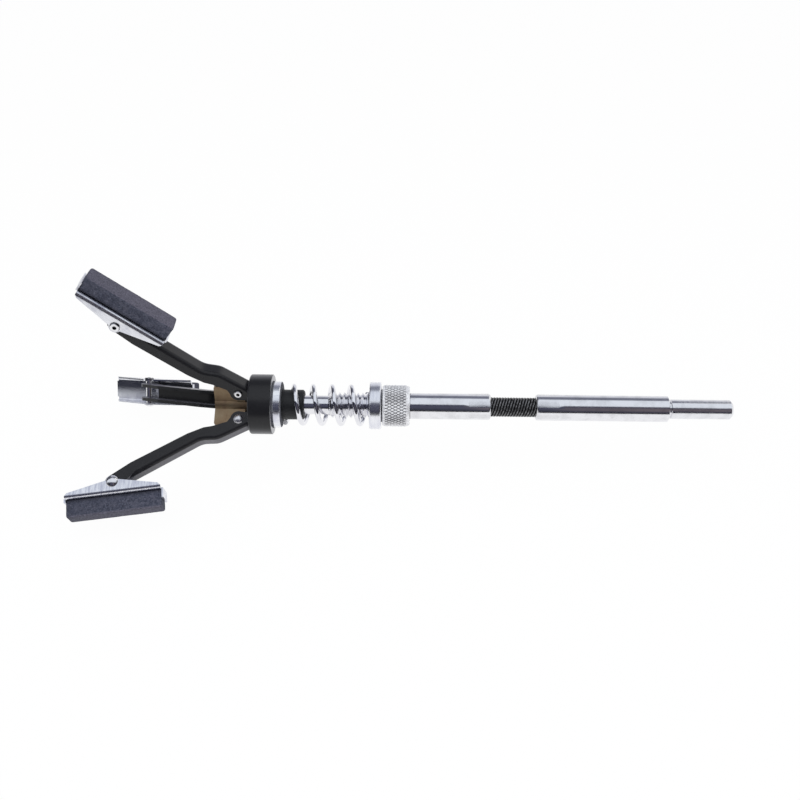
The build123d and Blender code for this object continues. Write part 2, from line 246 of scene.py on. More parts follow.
class Graph:
    """A node tree that is built from Python expressions."""

    def __init__(self, tree: bpy.types.NodeTree) -> None:
        """Empty the tree and hold it."""
        tree.nodes.clear()
        self.tree = tree

    def node(
        self,
        kind: str,
        settings: Mapping[str, Any],
        inputs: Mapping[Union[str, int], Any],
        output: Union[str, int] = 0,
    ) -> Tap:
        """Add any node.

        Args:
            kind: Blender's type of the node.
            settings: Properties set first; "stops" are a ramp's places and colours.
            inputs: Values or taps, by socket name or number.
            output: The output to hand back.

        Returns:
            That output.
        """
        made = self.tree.nodes.new(kind)
        for name, value in settings.items():
            if name == "stops":
                self._stops(made.color_ramp, value)
            else:
                setattr(made, name, value)
        for key, value in inputs.items():
            if isinstance(value, Tap):
                self.tree.links.new(value.socket, made.inputs[key])
            else:
                made.inputs[key].default_value = value
        return Tap(self, made.outputs[output])

    def close(self, kind: str, shader: Tap) -> None:
        """Join a shader to the output node of the tree.

        Args:
            kind: Blender's type of the output node.
            shader: What the output takes.
        """
        end = self.tree.nodes.new(kind)
        self.tree.links.new(shader.socket, end.inputs["Surface"])

    @staticmethod
    def _stops(ramp: bpy.types.ColorRamp, stops: Sequence[tuple[float, Colour]]) -> None:
        """Set a ramp's stops.

        Args:
            ramp: The ramp, which starts with two stops.
            stops: Places from 0 to 1 with their colours.
        """
        while len(ramp.elements) < len(stops):
            ramp.elements.new(1.0)
        for element, (place, colour) in zip(ramp.elements, stops):
            element.position = place
            element.color = (*colour, 1.0)

    def place(self, scale: Sequence[float] = (1, 1, 1), turn: Sequence[float] = (0, 0, 0)) -> Tap:
        """Object coordinates, turned and then stretched.

        Args:
            scale: Stretch along each axis.
            turn: Turn about each axis, in degrees.

        Returns:
            The coordinates as a vector.
        """
        spot = self.node("ShaderNodeTexCoord", {}, {}, "Object")
        if any(turn):
            turned = tuple(math.radians(angle) for angle in turn)
            spot = self.node("ShaderNodeMapping", {}, {"Vector": spot, "Rotation": turned})
        return self.node("ShaderNodeMapping", {}, {"Vector": spot, "Scale": tuple(scale)})

    def noise(self, vector: Tap, scale: float, detail: float = 2.0, rough: float = 0.5) -> Tap:
        """Cloudy noise from 0 to 1.

        Args:
            vector: Where it is read.
            scale: Grains per metre.
            detail: Octaves.
            rough: Strength of the finer octaves.

        Returns:
            The value.
        """
        return self.node(
            "ShaderNodeTexNoise",
            {},
            {"Vector": vector, "Scale": scale, "Detail": detail, "Roughness": rough},
        )

    def cells(self, vector: Tap, scale: float) -> Tap:
        """Distance to the nearest of scattered points, as grains show.

        Args:
            vector: Where it is read.
            scale: Grains per metre.

        Returns:
            The distance, from 0 in a grain's middle.
        """
        return self.node("ShaderNodeTexVoronoi", {}, {"Vector": vector, "Scale": scale})

    def ramp(self, value: Tap, stops: Sequence[tuple[float, Colour]]) -> Tap:
        """Colours laid along a value.

        Args:
            value: From 0 to 1.
            stops: Places with their colours.

        Returns:
            The colour.
        """
        return self.node("ShaderNodeValToRGB", {"stops": stops}, {"Fac": value})

    def mix(self, share: Reading, first: Any, second: Any, blend: str = "MIX") -> Tap:
        """Mix two colours.

        Args:
            share: Share of the second.
            first: Colour or tap.
            second: Colour or tap.
            blend: Blender's way of mixing.

        Returns:
            The colour.
        """
        pair = [(*c, 1.0) if isinstance(c, tuple) else c for c in (first, second)]
        return self.node(
            "ShaderNodeMix",
            {"data_type": "RGBA", "blend_type": blend},
            {0: share, 6: pair[0], 7: pair[1]},
            2,
        )

    def along(self) -> Tap:
        """Place along the tool's axis, in metres; the node's other outputs are Y and Z."""
        return self.node("ShaderNodeSeparateXYZ", {}, {"Vector": self.place()})

    def off_axis(self) -> Tap:
        """Distance from the tool's axis, in metres."""
        part = self.along()
        return (part.also("Y") ** 2 + part.also("Z") ** 2) ** 0.5

    def vector(self, operation: str, first: Tap, second: Any) -> Tap:
        """One step of vector arithmetic.

        Args:
            operation: Blender's name of the step.
            first: The first vector.
            second: The second vector, or None where the step takes one.

        Returns:
            The vector, or the number of a dot product or a length.
        """
        taken = {0: first} if second is None else {0: first, 1: second}
        output = "Value" if operation in ("DOT_PRODUCT", "LENGTH") else "Vector"
        return self.node("ShaderNodeVectorMath", {"operation": operation}, taken, output)

    def bump(self, height: Tap, strength: float, depth: float) -> Tap:
        """Raise the surface by a height.

        Args:
            height: From 0 to 1.
            strength: Share of the effect.
            depth: Full height, in metres.

        Returns:
            The normal.
        """
        return self.node(
            "ShaderNodeBump", {}, {"Height": height, "Strength": strength, "Distance": depth}
        )


# ---------------------------------------------------------------- finishes


@dataclass(frozen=True)
class Finish:
    """A finish of the hone, which makes one material.

    Attributes:
        slot: The record's material slot.
        turn: Turn of the pattern about each axis, in degrees.
        tag: What tells this copy of the finish from the others.
    """

    slot: str = "bright_steel"
    turn: tuple[float, float, float] = (0.0, 0.0, 0.0)
    tag: str = ""

    def surface(self, graph: Graph) -> Mapping[str, Any]:
        """The values and taps of the surface's sockets."""
        raise NotImplementedError

    def material(self) -> bpy.types.Material:
        """Make the material.

        Returns:
            A new material, or the one that this finish made before.
        """
        name = f"{type(self).__name__}{self.tag}"
        found = bpy.data.materials.get(name)
        if found is not None:
            return found
        made = bpy.data.materials.new(name)
        made.use_nodes = True
        graph = Graph(made.node_tree)
        shader = graph.node("ShaderNodeBsdfPrincipled", {}, self.surface(graph))
        graph.close("ShaderNodeOutputMaterial", shader)
        return made


@dataclass(frozen=True)
class TurnedSteel(Finish):
    """Bright turned steel, with fine rings about the axis.

    Attributes:
        colour: Colour of the metal.
        gloss: Lowest roughness.
        ring_depth: Depth of the tool marks, in metres.
        flats: Stretch along the axis that the crimps dull, in millimetres.
        fade: How softly the dulled stretch ends, in millimetres.
        flat_rim: Distances from the axis between which a crimp's flat ends.
        worn_from: Where the marks of a drill chuck start, in millimetres.
    """

    colour: Colour = (0.83, 0.83, 0.86)
    gloss: float = 0.1
    ring_depth: float = 0.000002
    flats: tuple[float, float] = (100.0, 101.0)
    fade: float = 0.3
    flat_rim: tuple[float, float] = (3.93, 3.97)
    worn_from: float = 100.0

    def surface(self, graph: Graph) -> Mapping[str, Any]:
        """The values and taps of the surface's sockets."""
        rings = graph.noise(graph.place((1, 0.02, 0.02)), 9000, 3)
        clouds = graph.noise(graph.place(), 260, 4, 0.6)
        handling = graph.noise(graph.place((0.5, 1, 1)), 1500, 3, 0.6)
        along = graph.along()
        start, end = (station * MM for station in self.flats)
        fade = self.fade * MM
        inside = along.within((start - fade, start), (end, end + fade))
        flat = inside * (1 - graph.off_axis().above(*(rim * MM for rim in self.flat_rim)))
        chuck = along.above(self.worn_from * MM, (self.worn_from + 1.0) * MM)
        bites = graph.noise(graph.place((1, 0.35, 0.35)), 1500, 5, 0.7).above(0.35, 0.7) * chuck
        worn = tuple(c * 0.86 for c in self.colour)
        dull = tuple(c * 0.72 for c in self.colour)
        plain = graph.mix(clouds.above(0.42, 0.7), self.colour, worn)
        return {
            "Base Color": graph.mix(flat * 0.25 + bites * 0.05, plain, dull),
            "Metallic": 1.0,
            "Roughness": self.gloss + clouds * 0.08 + handling.above(0.5, 0.8) * 0.06
            + flat * 0.1 + bites * 0.08,
            "Normal": graph.bump(rings + bites * 10, 0.35, self.ring_depth),
        }


@dataclass(frozen=True)
class RivetSteel(Finish):
    """Tumbled rivet steel, with painted shade in the hollow of the rolled tail and a painted dark ring round its rim.

    Attributes:
        spot: The middle of the rivet, in millimetres.
        across: Direction of its axis, towards the dome.
        bore: Radius of the hollow, in millimetres.
        tail: Radius of the tail, in millimetres.
        gloss: Lowest roughness.
    """

    spot: tuple[float, ...] = (0.0, 0.0, 0.0)
    across: tuple[float, ...] = (0.0, 1.0, 0.0)
    bore: float = 0.5
    tail: float = 1.3
    gloss: float = 0.3

    def surface(self, graph: Graph) -> Mapping[str, Any]:
        """The values and taps of the surface's sockets."""
        offset = graph.vector("SUBTRACT", graph.place(), tuple(c * MM for c in self.spot))
        reach = graph.vector("LENGTH", graph.vector("CROSS_PRODUCT", offset, self.across), None)
        side = graph.vector("DOT_PRODUCT", offset, self.across)
        tailed = 1 - side.above(-0.002, -0.0015)
        # Painted shade: the hollow of the tail and a ring on its chamfered rim are darkened.
        hollow = 1 - reach.above((self.bore + 0.02) * MM, (self.bore + 0.12) * MM)
        rim = reach.above((self.tail - 0.25) * MM, (self.tail - 0.1) * MM)
        tail_painted_shade = (hollow * 0.95 + rim * 0.75) * tailed
        clouds = graph.noise(graph.place(), 700, 4, 0.6)
        return {
            "Base Color": graph.mix(
                tail_painted_shade, graph.mix(clouds, (0.9, 0.9, 0.92), (0.74, 0.74, 0.77)), (0.02, 0.02, 0.025)
            ),
            "Metallic": 1.0,
            "Roughness": self.gloss + clouds * 0.12 * (1 - tail_painted_shade),
            "Normal": graph.bump(clouds, 0.2, 0.00001),
        }


@dataclass(frozen=True)
class ZincPlate(Finish):
    """Bright zinc plate with a faint blue cast.

    Attributes:
        colour: Colour of the clean plate.
        shade: Colour of its duller patches.
        streak: Share of the streaks drawn across the sheet.
        mottle: Share of the cloudy patches.
        gloss: Lowest roughness.
        clean: Stretch along the axis that is left without painted shade, in millimetres.
        scuffed_and_lit: How far down the sheet the plate's less metallic, lighter stretch starts and is full, in
            millimetres; scuffing with painted light.
        leaning: How much the line that it starts from drops along the axis.
        dents: Depth of the streaks and dents, in metres.
    """

    slot: str = "zinc_plate"
    colour: Colour = (0.86, 0.87, 0.91)
    shade: Colour = (0.56, 0.57, 0.66)
    streak: float = 0.45
    mottle: float = 0.4
    gloss: float = 0.24
    clean: tuple[float, float] = (-1000.0, 1000.0)
    scuffed_and_lit: tuple[float, float] = (100.0, 101.0)
    leaning: float = 0.16
    dents: float = 0.000006

    def surface(self, graph: Graph) -> Mapping[str, Any]:
        """The values and taps of the surface's sockets."""
        streaks = graph.noise(graph.place((1, 0.12, 0.12), self.turn), 1800, 3, 0.6)
        clouds = graph.noise(graph.place(), 190, 3, 0.55)
        grain = graph.noise(graph.place(), 6000, 2)
        share = streaks.above(0.35, 0.7) * self.streak + clouds.above(0.4, 0.7) * self.mottle
        along = graph.along()
        # Painted shade: outside this stretch the plate is painted nearly black, less metallic and rougher.
        start, end = (station * MM for station in self.clean)
        recess_and_face_shade = 1 - along.within((start - MM / 10, start), (end - MM / 10, end))
        plate = graph.mix(share, self.colour, self.shade)
        # Painted light with a scuffing grain: lower down the sheet the plate is less metallic, which renders it
        # lighter.
        down = along * self.leaning - along.also("Z")
        scuff_and_light = down.above(self.scuffed_and_lit[0] * MM, self.scuffed_and_lit[1] * MM) * (0.6 + grain * 0.6)
        return {
            "Base Color": graph.mix(recess_and_face_shade * 0.9, plate, (0.03, 0.032, 0.045)),
            "Metallic": (1 - scuff_and_light * 0.75) * (1 - recess_and_face_shade),
            "Roughness": self.gloss + streaks * 0.14 + clouds * 0.1 + recess_and_face_shade * 0.6,
            "Normal": graph.bump(streaks + grain * 0.5, 0.3, self.dents),
        }


@dataclass(frozen=True)
class BlackSatin(Finish):
    """Satin black on pressed steel, rubbed a little, with a painted grey sheen where it is seen aslant.

    Attributes:
        lip: Where along the axis the polished lip starts, in millimetres.
        sheen: Grey painted on where the surface is seen aslant, a painted sheen.
    """

    slot: str = "black_steel"
    lip: float = 100.0
    sheen: Colour = (0.14, 0.135, 0.16)

    def surface(self, graph: Graph) -> Mapping[str, Any]:
        """The values and taps of the surface's sockets."""
        peel = graph.noise(graph.place(), 2600, 3)
        clouds = graph.noise(graph.place(), 170, 4, 0.6)
        rubbed = graph.noise(graph.place((1, 0.2, 0.2)), 1400, 4, 0.65).above(0.6, 0.78)
        along = graph.along()
        polished = along.above(self.lip * MM, (self.lip + 0.06) * MM)
        # Painted sheen: the colour turns grey where the surface is seen aslant.
        aslant_sheen = graph.node("ShaderNodeLayerWeight", {}, {"Blend": 0.5}, "Facing").above(0.38, 0.8)
        base = graph.mix(clouds, (0.008, 0.008, 0.0095), (0.015, 0.015, 0.017))
        worn = graph.mix(rubbed * 0.4, base, (0.045, 0.045, 0.05))
        bare = graph.mix(aslant_sheen, worn, self.sheen)
        return {
            "Base Color": graph.mix(polished, bare, (0.34, 0.34, 0.36)),
            "Metallic": polished,
            "Specular IOR Level": 0.3,
            "Roughness": 0.2 + clouds * 0.14 + peel * 0.05,
            "Normal": graph.bump(peel, 0.3, 0.00001),
        }


@dataclass(frozen=True)
class YellowZinc(Finish):
    """Yellow passivated steel that shifts between olive, brown and grey."""

    slot: str = "yellow_zinc"

    def surface(self, graph: Graph) -> Mapping[str, Any]:
        """The values and taps of the surface's sockets."""
        film = graph.noise(graph.place(), 240, 3, 0.6)
        grain = graph.noise(graph.place((1, 0.3, 0.3)), 3200, 3)
        tones = [
            (0.25, (0.15, 0.098, 0.066)),
            (0.45, (0.25, 0.175, 0.107)),
            (0.6, (0.28, 0.214, 0.136)),
            (0.8, (0.38, 0.32, 0.23)),
        ]
        return {
            "Base Color": graph.ramp(film * 0.8 + grain * 0.2, tones),
            "Metallic": 0.85,
            "Roughness": 0.34 + grain * 0.16,
            "Normal": graph.bump(grain, 0.3, 0.000008),
        }


@dataclass(frozen=True)
class SpringWire(Finish):
    """Bright drawn wire, its cut end dull.

    Attributes:
        cut: Where the wire is cut off, in degrees from +Y towards +Z.
        cut_before: The cut is in front of this place along the axis, in millimetres.
    """

    slot: str = "spring_steel"
    cut: float = 245.0
    cut_before: float = -117.0

    def surface(self, graph: Graph) -> Mapping[str, Any]:
        """The values and taps of the surface's sockets."""
        clouds = graph.noise(graph.place(), 420, 4, 0.6)
        scale = graph.noise(graph.place(), 2400, 3, 0.6)
        part = graph.along()
        angle = math.radians(self.cut)
        ahead = part.also("Z") * math.cos(angle) - part.also("Y") * math.sin(angle)
        faced = ahead.within((-0.00016, -0.00013), (0.00013, 0.00016))
        end = faced * (1 - part.above((self.cut_before - 0.1) * MM, self.cut_before * MM))
        bright = graph.mix(clouds, (0.93, 0.93, 0.96), (0.72, 0.72, 0.76))
        return {
            "Base Color": graph.mix(end, bright, (0.62, 0.62, 0.64)),
            "Metallic": 1 - end,
            "Roughness": 0.02 + scale * 0.06 + end * 0.4,
            "Normal": graph.bump(scale, 0.2, 0.000006),
        }


@dataclass(frozen=True)
class KnurledSteel(Finish):
    """Satin plated steel, duller down in the knurling, with painted shade in the knurl's hollows and on the neck.

    Attributes:
        crest: Distance of the knurl's crests from the axis, in millimetres.
        depth: Depth of the knurl, in millimetres.
        front: Where the knurl starts along the axis, in millimetres.
        rear: Where it ends.
        neck: Radius of the neck, which gets painted shade.
    """

    slot: str = "nut_steel"
    crest: float = 6.4
    depth: float = 0.3
    front: float = -88.0
    rear: float = -80.0
    neck: float = 5.0

    def surface(self, graph: Graph) -> Mapping[str, Any]:
        """The values and taps of the surface's sockets."""
        low = (self.crest - self.depth) * MM
        along = graph.along()
        banded = along.within(
            ((self.front + 0.35) * MM, (self.front + 0.8) * MM),
            ((self.rear - 0.8) * MM, (self.rear - 0.35) * MM),
        )
        # Painted shade: the neck, the bore and the knurl's hollows are darkened.
        outside = graph.off_axis().above((self.neck + 0.1) * MM, (self.neck + 0.4) * MM)
        proud = graph.off_axis().above(low + 0.00001, low + 0.42 * self.depth * MM)
        rise = (1 - (1 - proud) * banded) * outside
        clouds = graph.noise(graph.place(), 500, 3, 0.6)
        grain = graph.noise(graph.place(), 5200, 2)
        top = graph.mix(clouds, (0.93, 0.93, 0.94), (0.80, 0.80, 0.82))
        return {
            "Base Color": graph.mix(rise, (0.11, 0.11, 0.12), top),
            "Metallic": 0.5,
            "Roughness": 0.4 - rise * 0.1 + grain * 0.1,
            "Normal": graph.bump(grain, 0.25, 0.000006),
        }


@dataclass(frozen=True)
class BlackPolymer(Finish):
    """Matt black bearing polymer with fine mould grain."""

    slot: str = "black_polymer"

    def surface(self, graph: Graph) -> Mapping[str, Any]:
        """The values and taps of the surface's sockets."""
        grain = graph.noise(graph.place(), 4200, 3)
        clouds = graph.noise(graph.place(), 300, 3)
        return {
            "Base Color": graph.mix(clouds, (0.007, 0.0075, 0.009), (0.013, 0.0135, 0.0155)),
            "Specular IOR Level": 0.35,
            "Roughness": 0.42 + grain * 0.16,
            "Normal": graph.bump(grain, 0.4, 0.00001),
        }


@dataclass(frozen=True)
class OxideWire(Finish):
    """Black oxide wire, lighter grey where it stands proud: rubbed wear with a painted highlight.

    Attributes:
        crest: Distance of the outermost wire from the axis, in millimetres.
        depth: How far in the rubbing reaches, in millimetres.
    """

    slot: str = "wire_black"
    crest: float = 3.0
    depth: float = 0.12

    def surface(self, graph: Graph) -> Mapping[str, Any]:
        """The values and taps of the surface's sockets."""
        proud = graph.off_axis().above((self.crest - self.depth) * MM, self.crest * MM)
        scale = graph.noise(graph.place(), 1900, 4, 0.6)
        # Rubbed wear with a painted highlight: the outermost crests are lighter grey.
        rub_and_highlight = proud * scale.above(0.3, 0.7)
        return {
            "Base Color": graph.mix(rub_and_highlight, (0.009, 0.009, 0.01), (0.28, 0.28, 0.29)),
            "Metallic": 0.6,
            "Roughness": 0.34 - rub_and_highlight * 0.1 + scale * 0.08,
            "Normal": graph.bump(scale, 0.25, 0.000008),
        }


@dataclass(frozen=True)
class Grit(Finish):
    """Bonded dark abrasive: grains of several tones in a slate bond, with painted light growing towards the stone's
    rear end and painted shade near the holder's web.

    Attributes:
        outward: Direction that the working face looks in.
        face: Distance of the working face from the origin along it, in millimetres.
    """

    slot: str = "stone"
    outward: tuple[float, float, float] = (0.0, 0.0, 1.0)
    face: float = 9.1

    def surface(self, graph: Graph) -> Mapping[str, Any]:
        """The values and taps of the surface's sockets."""
        grains = graph.cells(graph.place(), 2300)
        fine = graph.noise(graph.place(), 2300, 5, 0.78)
        clouds = graph.noise(graph.place(), 330, 4, 0.6)
        bond = graph.ramp(
            fine,
            [
                (0.3, (0.011, 0.012, 0.02)),
                (0.47, (0.035, 0.039, 0.06)),
                (0.6, (0.078, 0.084, 0.118)),
                (0.72, (0.21, 0.21, 0.255)),
            ],
        )
        blots = graph.noise(graph.place(), 900, 3, 0.6).above(0.4, 0.66)
        tinted = graph.mix(clouds.above(0.3, 0.7) * 0.45, bond, (0.04, 0.044, 0.07))
        along = graph.along()
        # Painted light: darker towards the stone's front end; lighter, with more light blots and more ground face,
        # towards its rear end.
        rear = along.above(-0.187, -0.149)
        tinted = graph.mix((1 - rear) * 0.15, tinted, (0.02, 0.022, 0.035))
        shade = graph.mix(blots * (0.2 + rear * 0.25), tinted, (0.12, 0.118, 0.155))
        height = graph.vector("DOT_PRODUCT", graph.place(), self.outward)
        worn = height.above((self.face - 0.7) * MM, (self.face - 0.35) * MM)
        ground = graph.ramp(fine, [(0.3, (0.04, 0.038, 0.052)), (0.7, (0.165, 0.158, 0.205))])
        # Painted shade: the stone's sides are darkened near the holder's web.
        web_shade = 1 - height.above((self.face - 5.3) * MM, (self.face - 3.9) * MM)
        side = graph.mix(web_shade * 0.6, shade, (0.008, 0.009, 0.014))
        return {
            "Base Color": graph.mix(worn * (0.6 + rear * 0.4), side, ground),
            "Roughness": 0.78 + fine * 0.18,
            "Normal": graph.bump(fine + (1 - grains) * 0.6, 0.7, 0.00006),
        }


# ---------------------------------------------------------------- work on the bench


class Part(Enum):
    """What is picked in edit mode."""

    POINT = "VERT"
    SIDE = "EDGE"
    FACE = "FACE"


class Bench:
    """The moves that a piece is made with, everything else let go of first."""

    @staticmethod
    def clear() -> None:
        """Leave edit mode and let go of every object."""
        if bpy.context.object is not None and bpy.context.object.mode != "OBJECT":
            bpy.ops.object.mode_set(mode="OBJECT")
        bpy.ops.object.select_all(action="DESELECT")

    @staticmethod
    def hold(piece: Piece) -> None:
        """Select one object alone and make it active."""
        Bench.clear()
        piece.select_set(True)
        bpy.context.view_layer.objects.active = piece

    @staticmethod
    def edit(piece: Piece) -> None:
        """Open a piece in edit mode, all of it selected."""
        Bench.hold(piece)
        bpy.ops.object.mode_set(mode="EDIT")
        bpy.ops.mesh.select_mode(type="VERT")
        bpy.ops.mesh.select_all(action="SELECT")

    @staticmethod
    def pick(piece: Piece, wanted: Callable[[Vector], bool], part: Part) -> None:
        """Select points, edges or faces by where their middles are.

        Args:
            piece: The object in edit mode.
            wanted: Test of a place in metres.
            part: What is selected.
        """
        bpy.ops.mesh.select_mode(type=part.value)
        bpy.ops.mesh.select_all(action="DESELECT")
        mesh = bmesh.from_edit_mesh(piece.data)
        if part is Part.POINT:
            spots = [(v, v.co) for v in mesh.verts]
        elif part is Part.SIDE:
            spots = [(e, (e.verts[0].co + e.verts[1].co) / 2) for e in mesh.edges]
        else:
            spots = [(f, f.calc_center_median()) for f in mesh.faces]
        for item, spot in spots:
            if wanted(spot):
                item.select_set(True)
        mesh.select_flush_mode()
        bmesh.update_edit_mesh(piece.data)

    @staticmethod
    def close(piece: Piece, smooth: float = 35.0) -> Piece:
        """Merge doubles, face everything outwards and smooth the soft edges.

        Args:
            piece: The piece.
            smooth: Edges flatter than this many degrees are smoothed.

        Returns:
            The piece, in object mode.
        """
        Bench.edit(piece)
        bpy.ops.mesh.remove_doubles(threshold=0.000001)
        bpy.ops.mesh.select_all(action="SELECT")
        bpy.ops.mesh.normals_make_consistent(inside=False)
        bpy.ops.object.mode_set(mode="OBJECT")
        bpy.ops.object.shade_smooth_by_angle(angle=math.radians(smooth))
        return piece

    @staticmethod
    def settle(piece: Piece) -> None:
        """Put an object's place, turn and size into its mesh."""
        Bench.hold(piece)
        bpy.ops.object.transform_apply(location=True, rotation=True, scale=True)

    @staticmethod
    def apply(piece: Piece, kind: str, **settings: Any) -> None:
        """Add a modifier and apply it.

        Args:
            piece: The object.
            kind: Blender's type of the modifier.
            settings: The modifier's properties.
        """
        Bench.hold(piece)
        modifier = piece.modifiers.new(kind.lower(), kind)
        for name, value in settings.items():
            setattr(modifier, name, value)
        bpy.ops.object.modifier_apply(modifier=modifier.name)

    @staticmethod
    def add(name: str, primitive: Callable[..., Any], **settings: Any) -> Piece:
        """Add a primitive, its place, turn and size in its mesh.

        Args:
            name: Name of the piece.
            primitive: Blender's operator.
            settings: What the operator is given.

        Returns:
            The piece.
        """
        Bench.clear()
        primitive(**settings)
        piece = bpy.context.active_object
        piece.name = piece.data.name = name
        Bench.settle(piece)
        return piece

    @staticmethod
    def screw(
        piece: Piece,
        advance: float,
        turns: float = 1.0,
        times: int = 1,
        steps: int = 48,
        merge: bool = False,
    ) -> None:
        """Sweep a section along a screw about the tool's axis.

        Args:
            piece: The section.
            advance: Travel along the axis each time, in millimetres.
            turns: Turns each time.
            times: How often the sweep is repeated.
            steps: Facets each time.
            merge: Join neighbouring turns.
        """
        Bench.apply(
            piece,
            "SCREW",
            axis="X",
            angle=FULL_TURN * turns,
            screw_offset=advance * MM,
            iterations=times,
            steps=steps,
            render_steps=steps,
            use_merge_vertices=merge,
            merge_threshold=0.000002,
        )

    @staticmethod
    def line(name: str, stations: Stations) -> Piece:
        """Draw a profile above the axis, point by point.

        Args:
            name: Name of the piece.
            stations: Place along the axis and distance from it, in millimetres.

        Returns:
            The piece, all of it selected in edit mode.
        """
        Bench.clear()
        bpy.ops.mesh.primitive_plane_add(size=MM)
        piece = bpy.context.active_object
        piece.name = piece.data.name = name
        bpy.ops.object.mode_set(mode="EDIT")
        bpy.ops.mesh.select_mode(type="VERT")
        bpy.ops.mesh.select_all(action="SELECT")
        bpy.ops.mesh.merge(type="CENTER")
        start = stations[0]
        bpy.ops.transform.translate(value=(start[0] * MM, 0, start[1] * MM))
        for (x_from, r_from), (x_to, r_to) in zip(stations, stations[1:]):
            step = ((x_to - x_from) * MM, 0, (r_to - r_from) * MM)
            bpy.ops.mesh.extrude_vertices_move(TRANSFORM_OT_translate={"value": step})
        bpy.ops.mesh.select_all(action="SELECT")
        return piece

    @staticmethod
    def turned(name: str, stations: Stations, steps: int = 96) -> Piece:
        """Spin a profile about the tool's axis.

        Args:
            name: Name of the piece.
            stations: Place along the axis and distance from it, in millimetres.
            steps: Facets round the axis.

        Returns:
            The closed piece.
        """
        piece = Bench.line(name, stations)
        bpy.ops.mesh.spin(steps=steps, angle=FULL_TURN, center=(0, 0, 0), axis=(1, 0, 0))
        return Bench.close(piece)

    @staticmethod
    def copy(piece: Piece, name: str, turn: float = 0.0) -> Piece:
        """Copy a piece with its own mesh, turned about the tool's axis.

        Args:
            piece: What is copied.
            name: Name of the copy.
            turn: Turn in degrees.

        Returns:
            The copy, its place in its mesh.
        """
        Bench.hold(piece)
        bpy.ops.object.duplicate(linked=False)
        made = bpy.context.active_object
        made.name = made.data.name = name
        made.rotation_euler = Euler((math.radians(turn), 0, 0))
        Bench.settle(made)
        return made

    @staticmethod
    def join(first: Piece, *others: Piece) -> Piece:
        """Join pieces into the first."""
        Bench.hold(first)
        for other in others:
            other.select_set(True)
        bpy.ops.object.join()
        return first

    @staticmethod
    def trim(piece: Piece, station: float, keep_rear: bool) -> None:
        """Cut a piece square across the axis and cap the cut.

        Args:
            piece: The piece.
            station: Place of the cut, in millimetres.
            keep_rear: Keep the side towards the shank.
        """
        Bench.edit(piece)
        bpy.ops.mesh.bisect(
            plane_co=(station * MM, 0, 0),
            plane_no=(1, 0, 0),
            use_fill=True,
            clear_inner=keep_rear,
            clear_outer=not keep_rear,
        )
        bpy.ops.object.mode_set(mode="OBJECT")

    @staticmethod
    def finish(piece: Piece, finish: Finish) -> Piece:
        """Give a new piece its material and its slot."""
        piece.data.materials.clear()
        piece.data.materials.append(finish.material())
        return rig.slot(piece, finish.slot)


# ---------------------------------------------------------------- the hone's own pieces


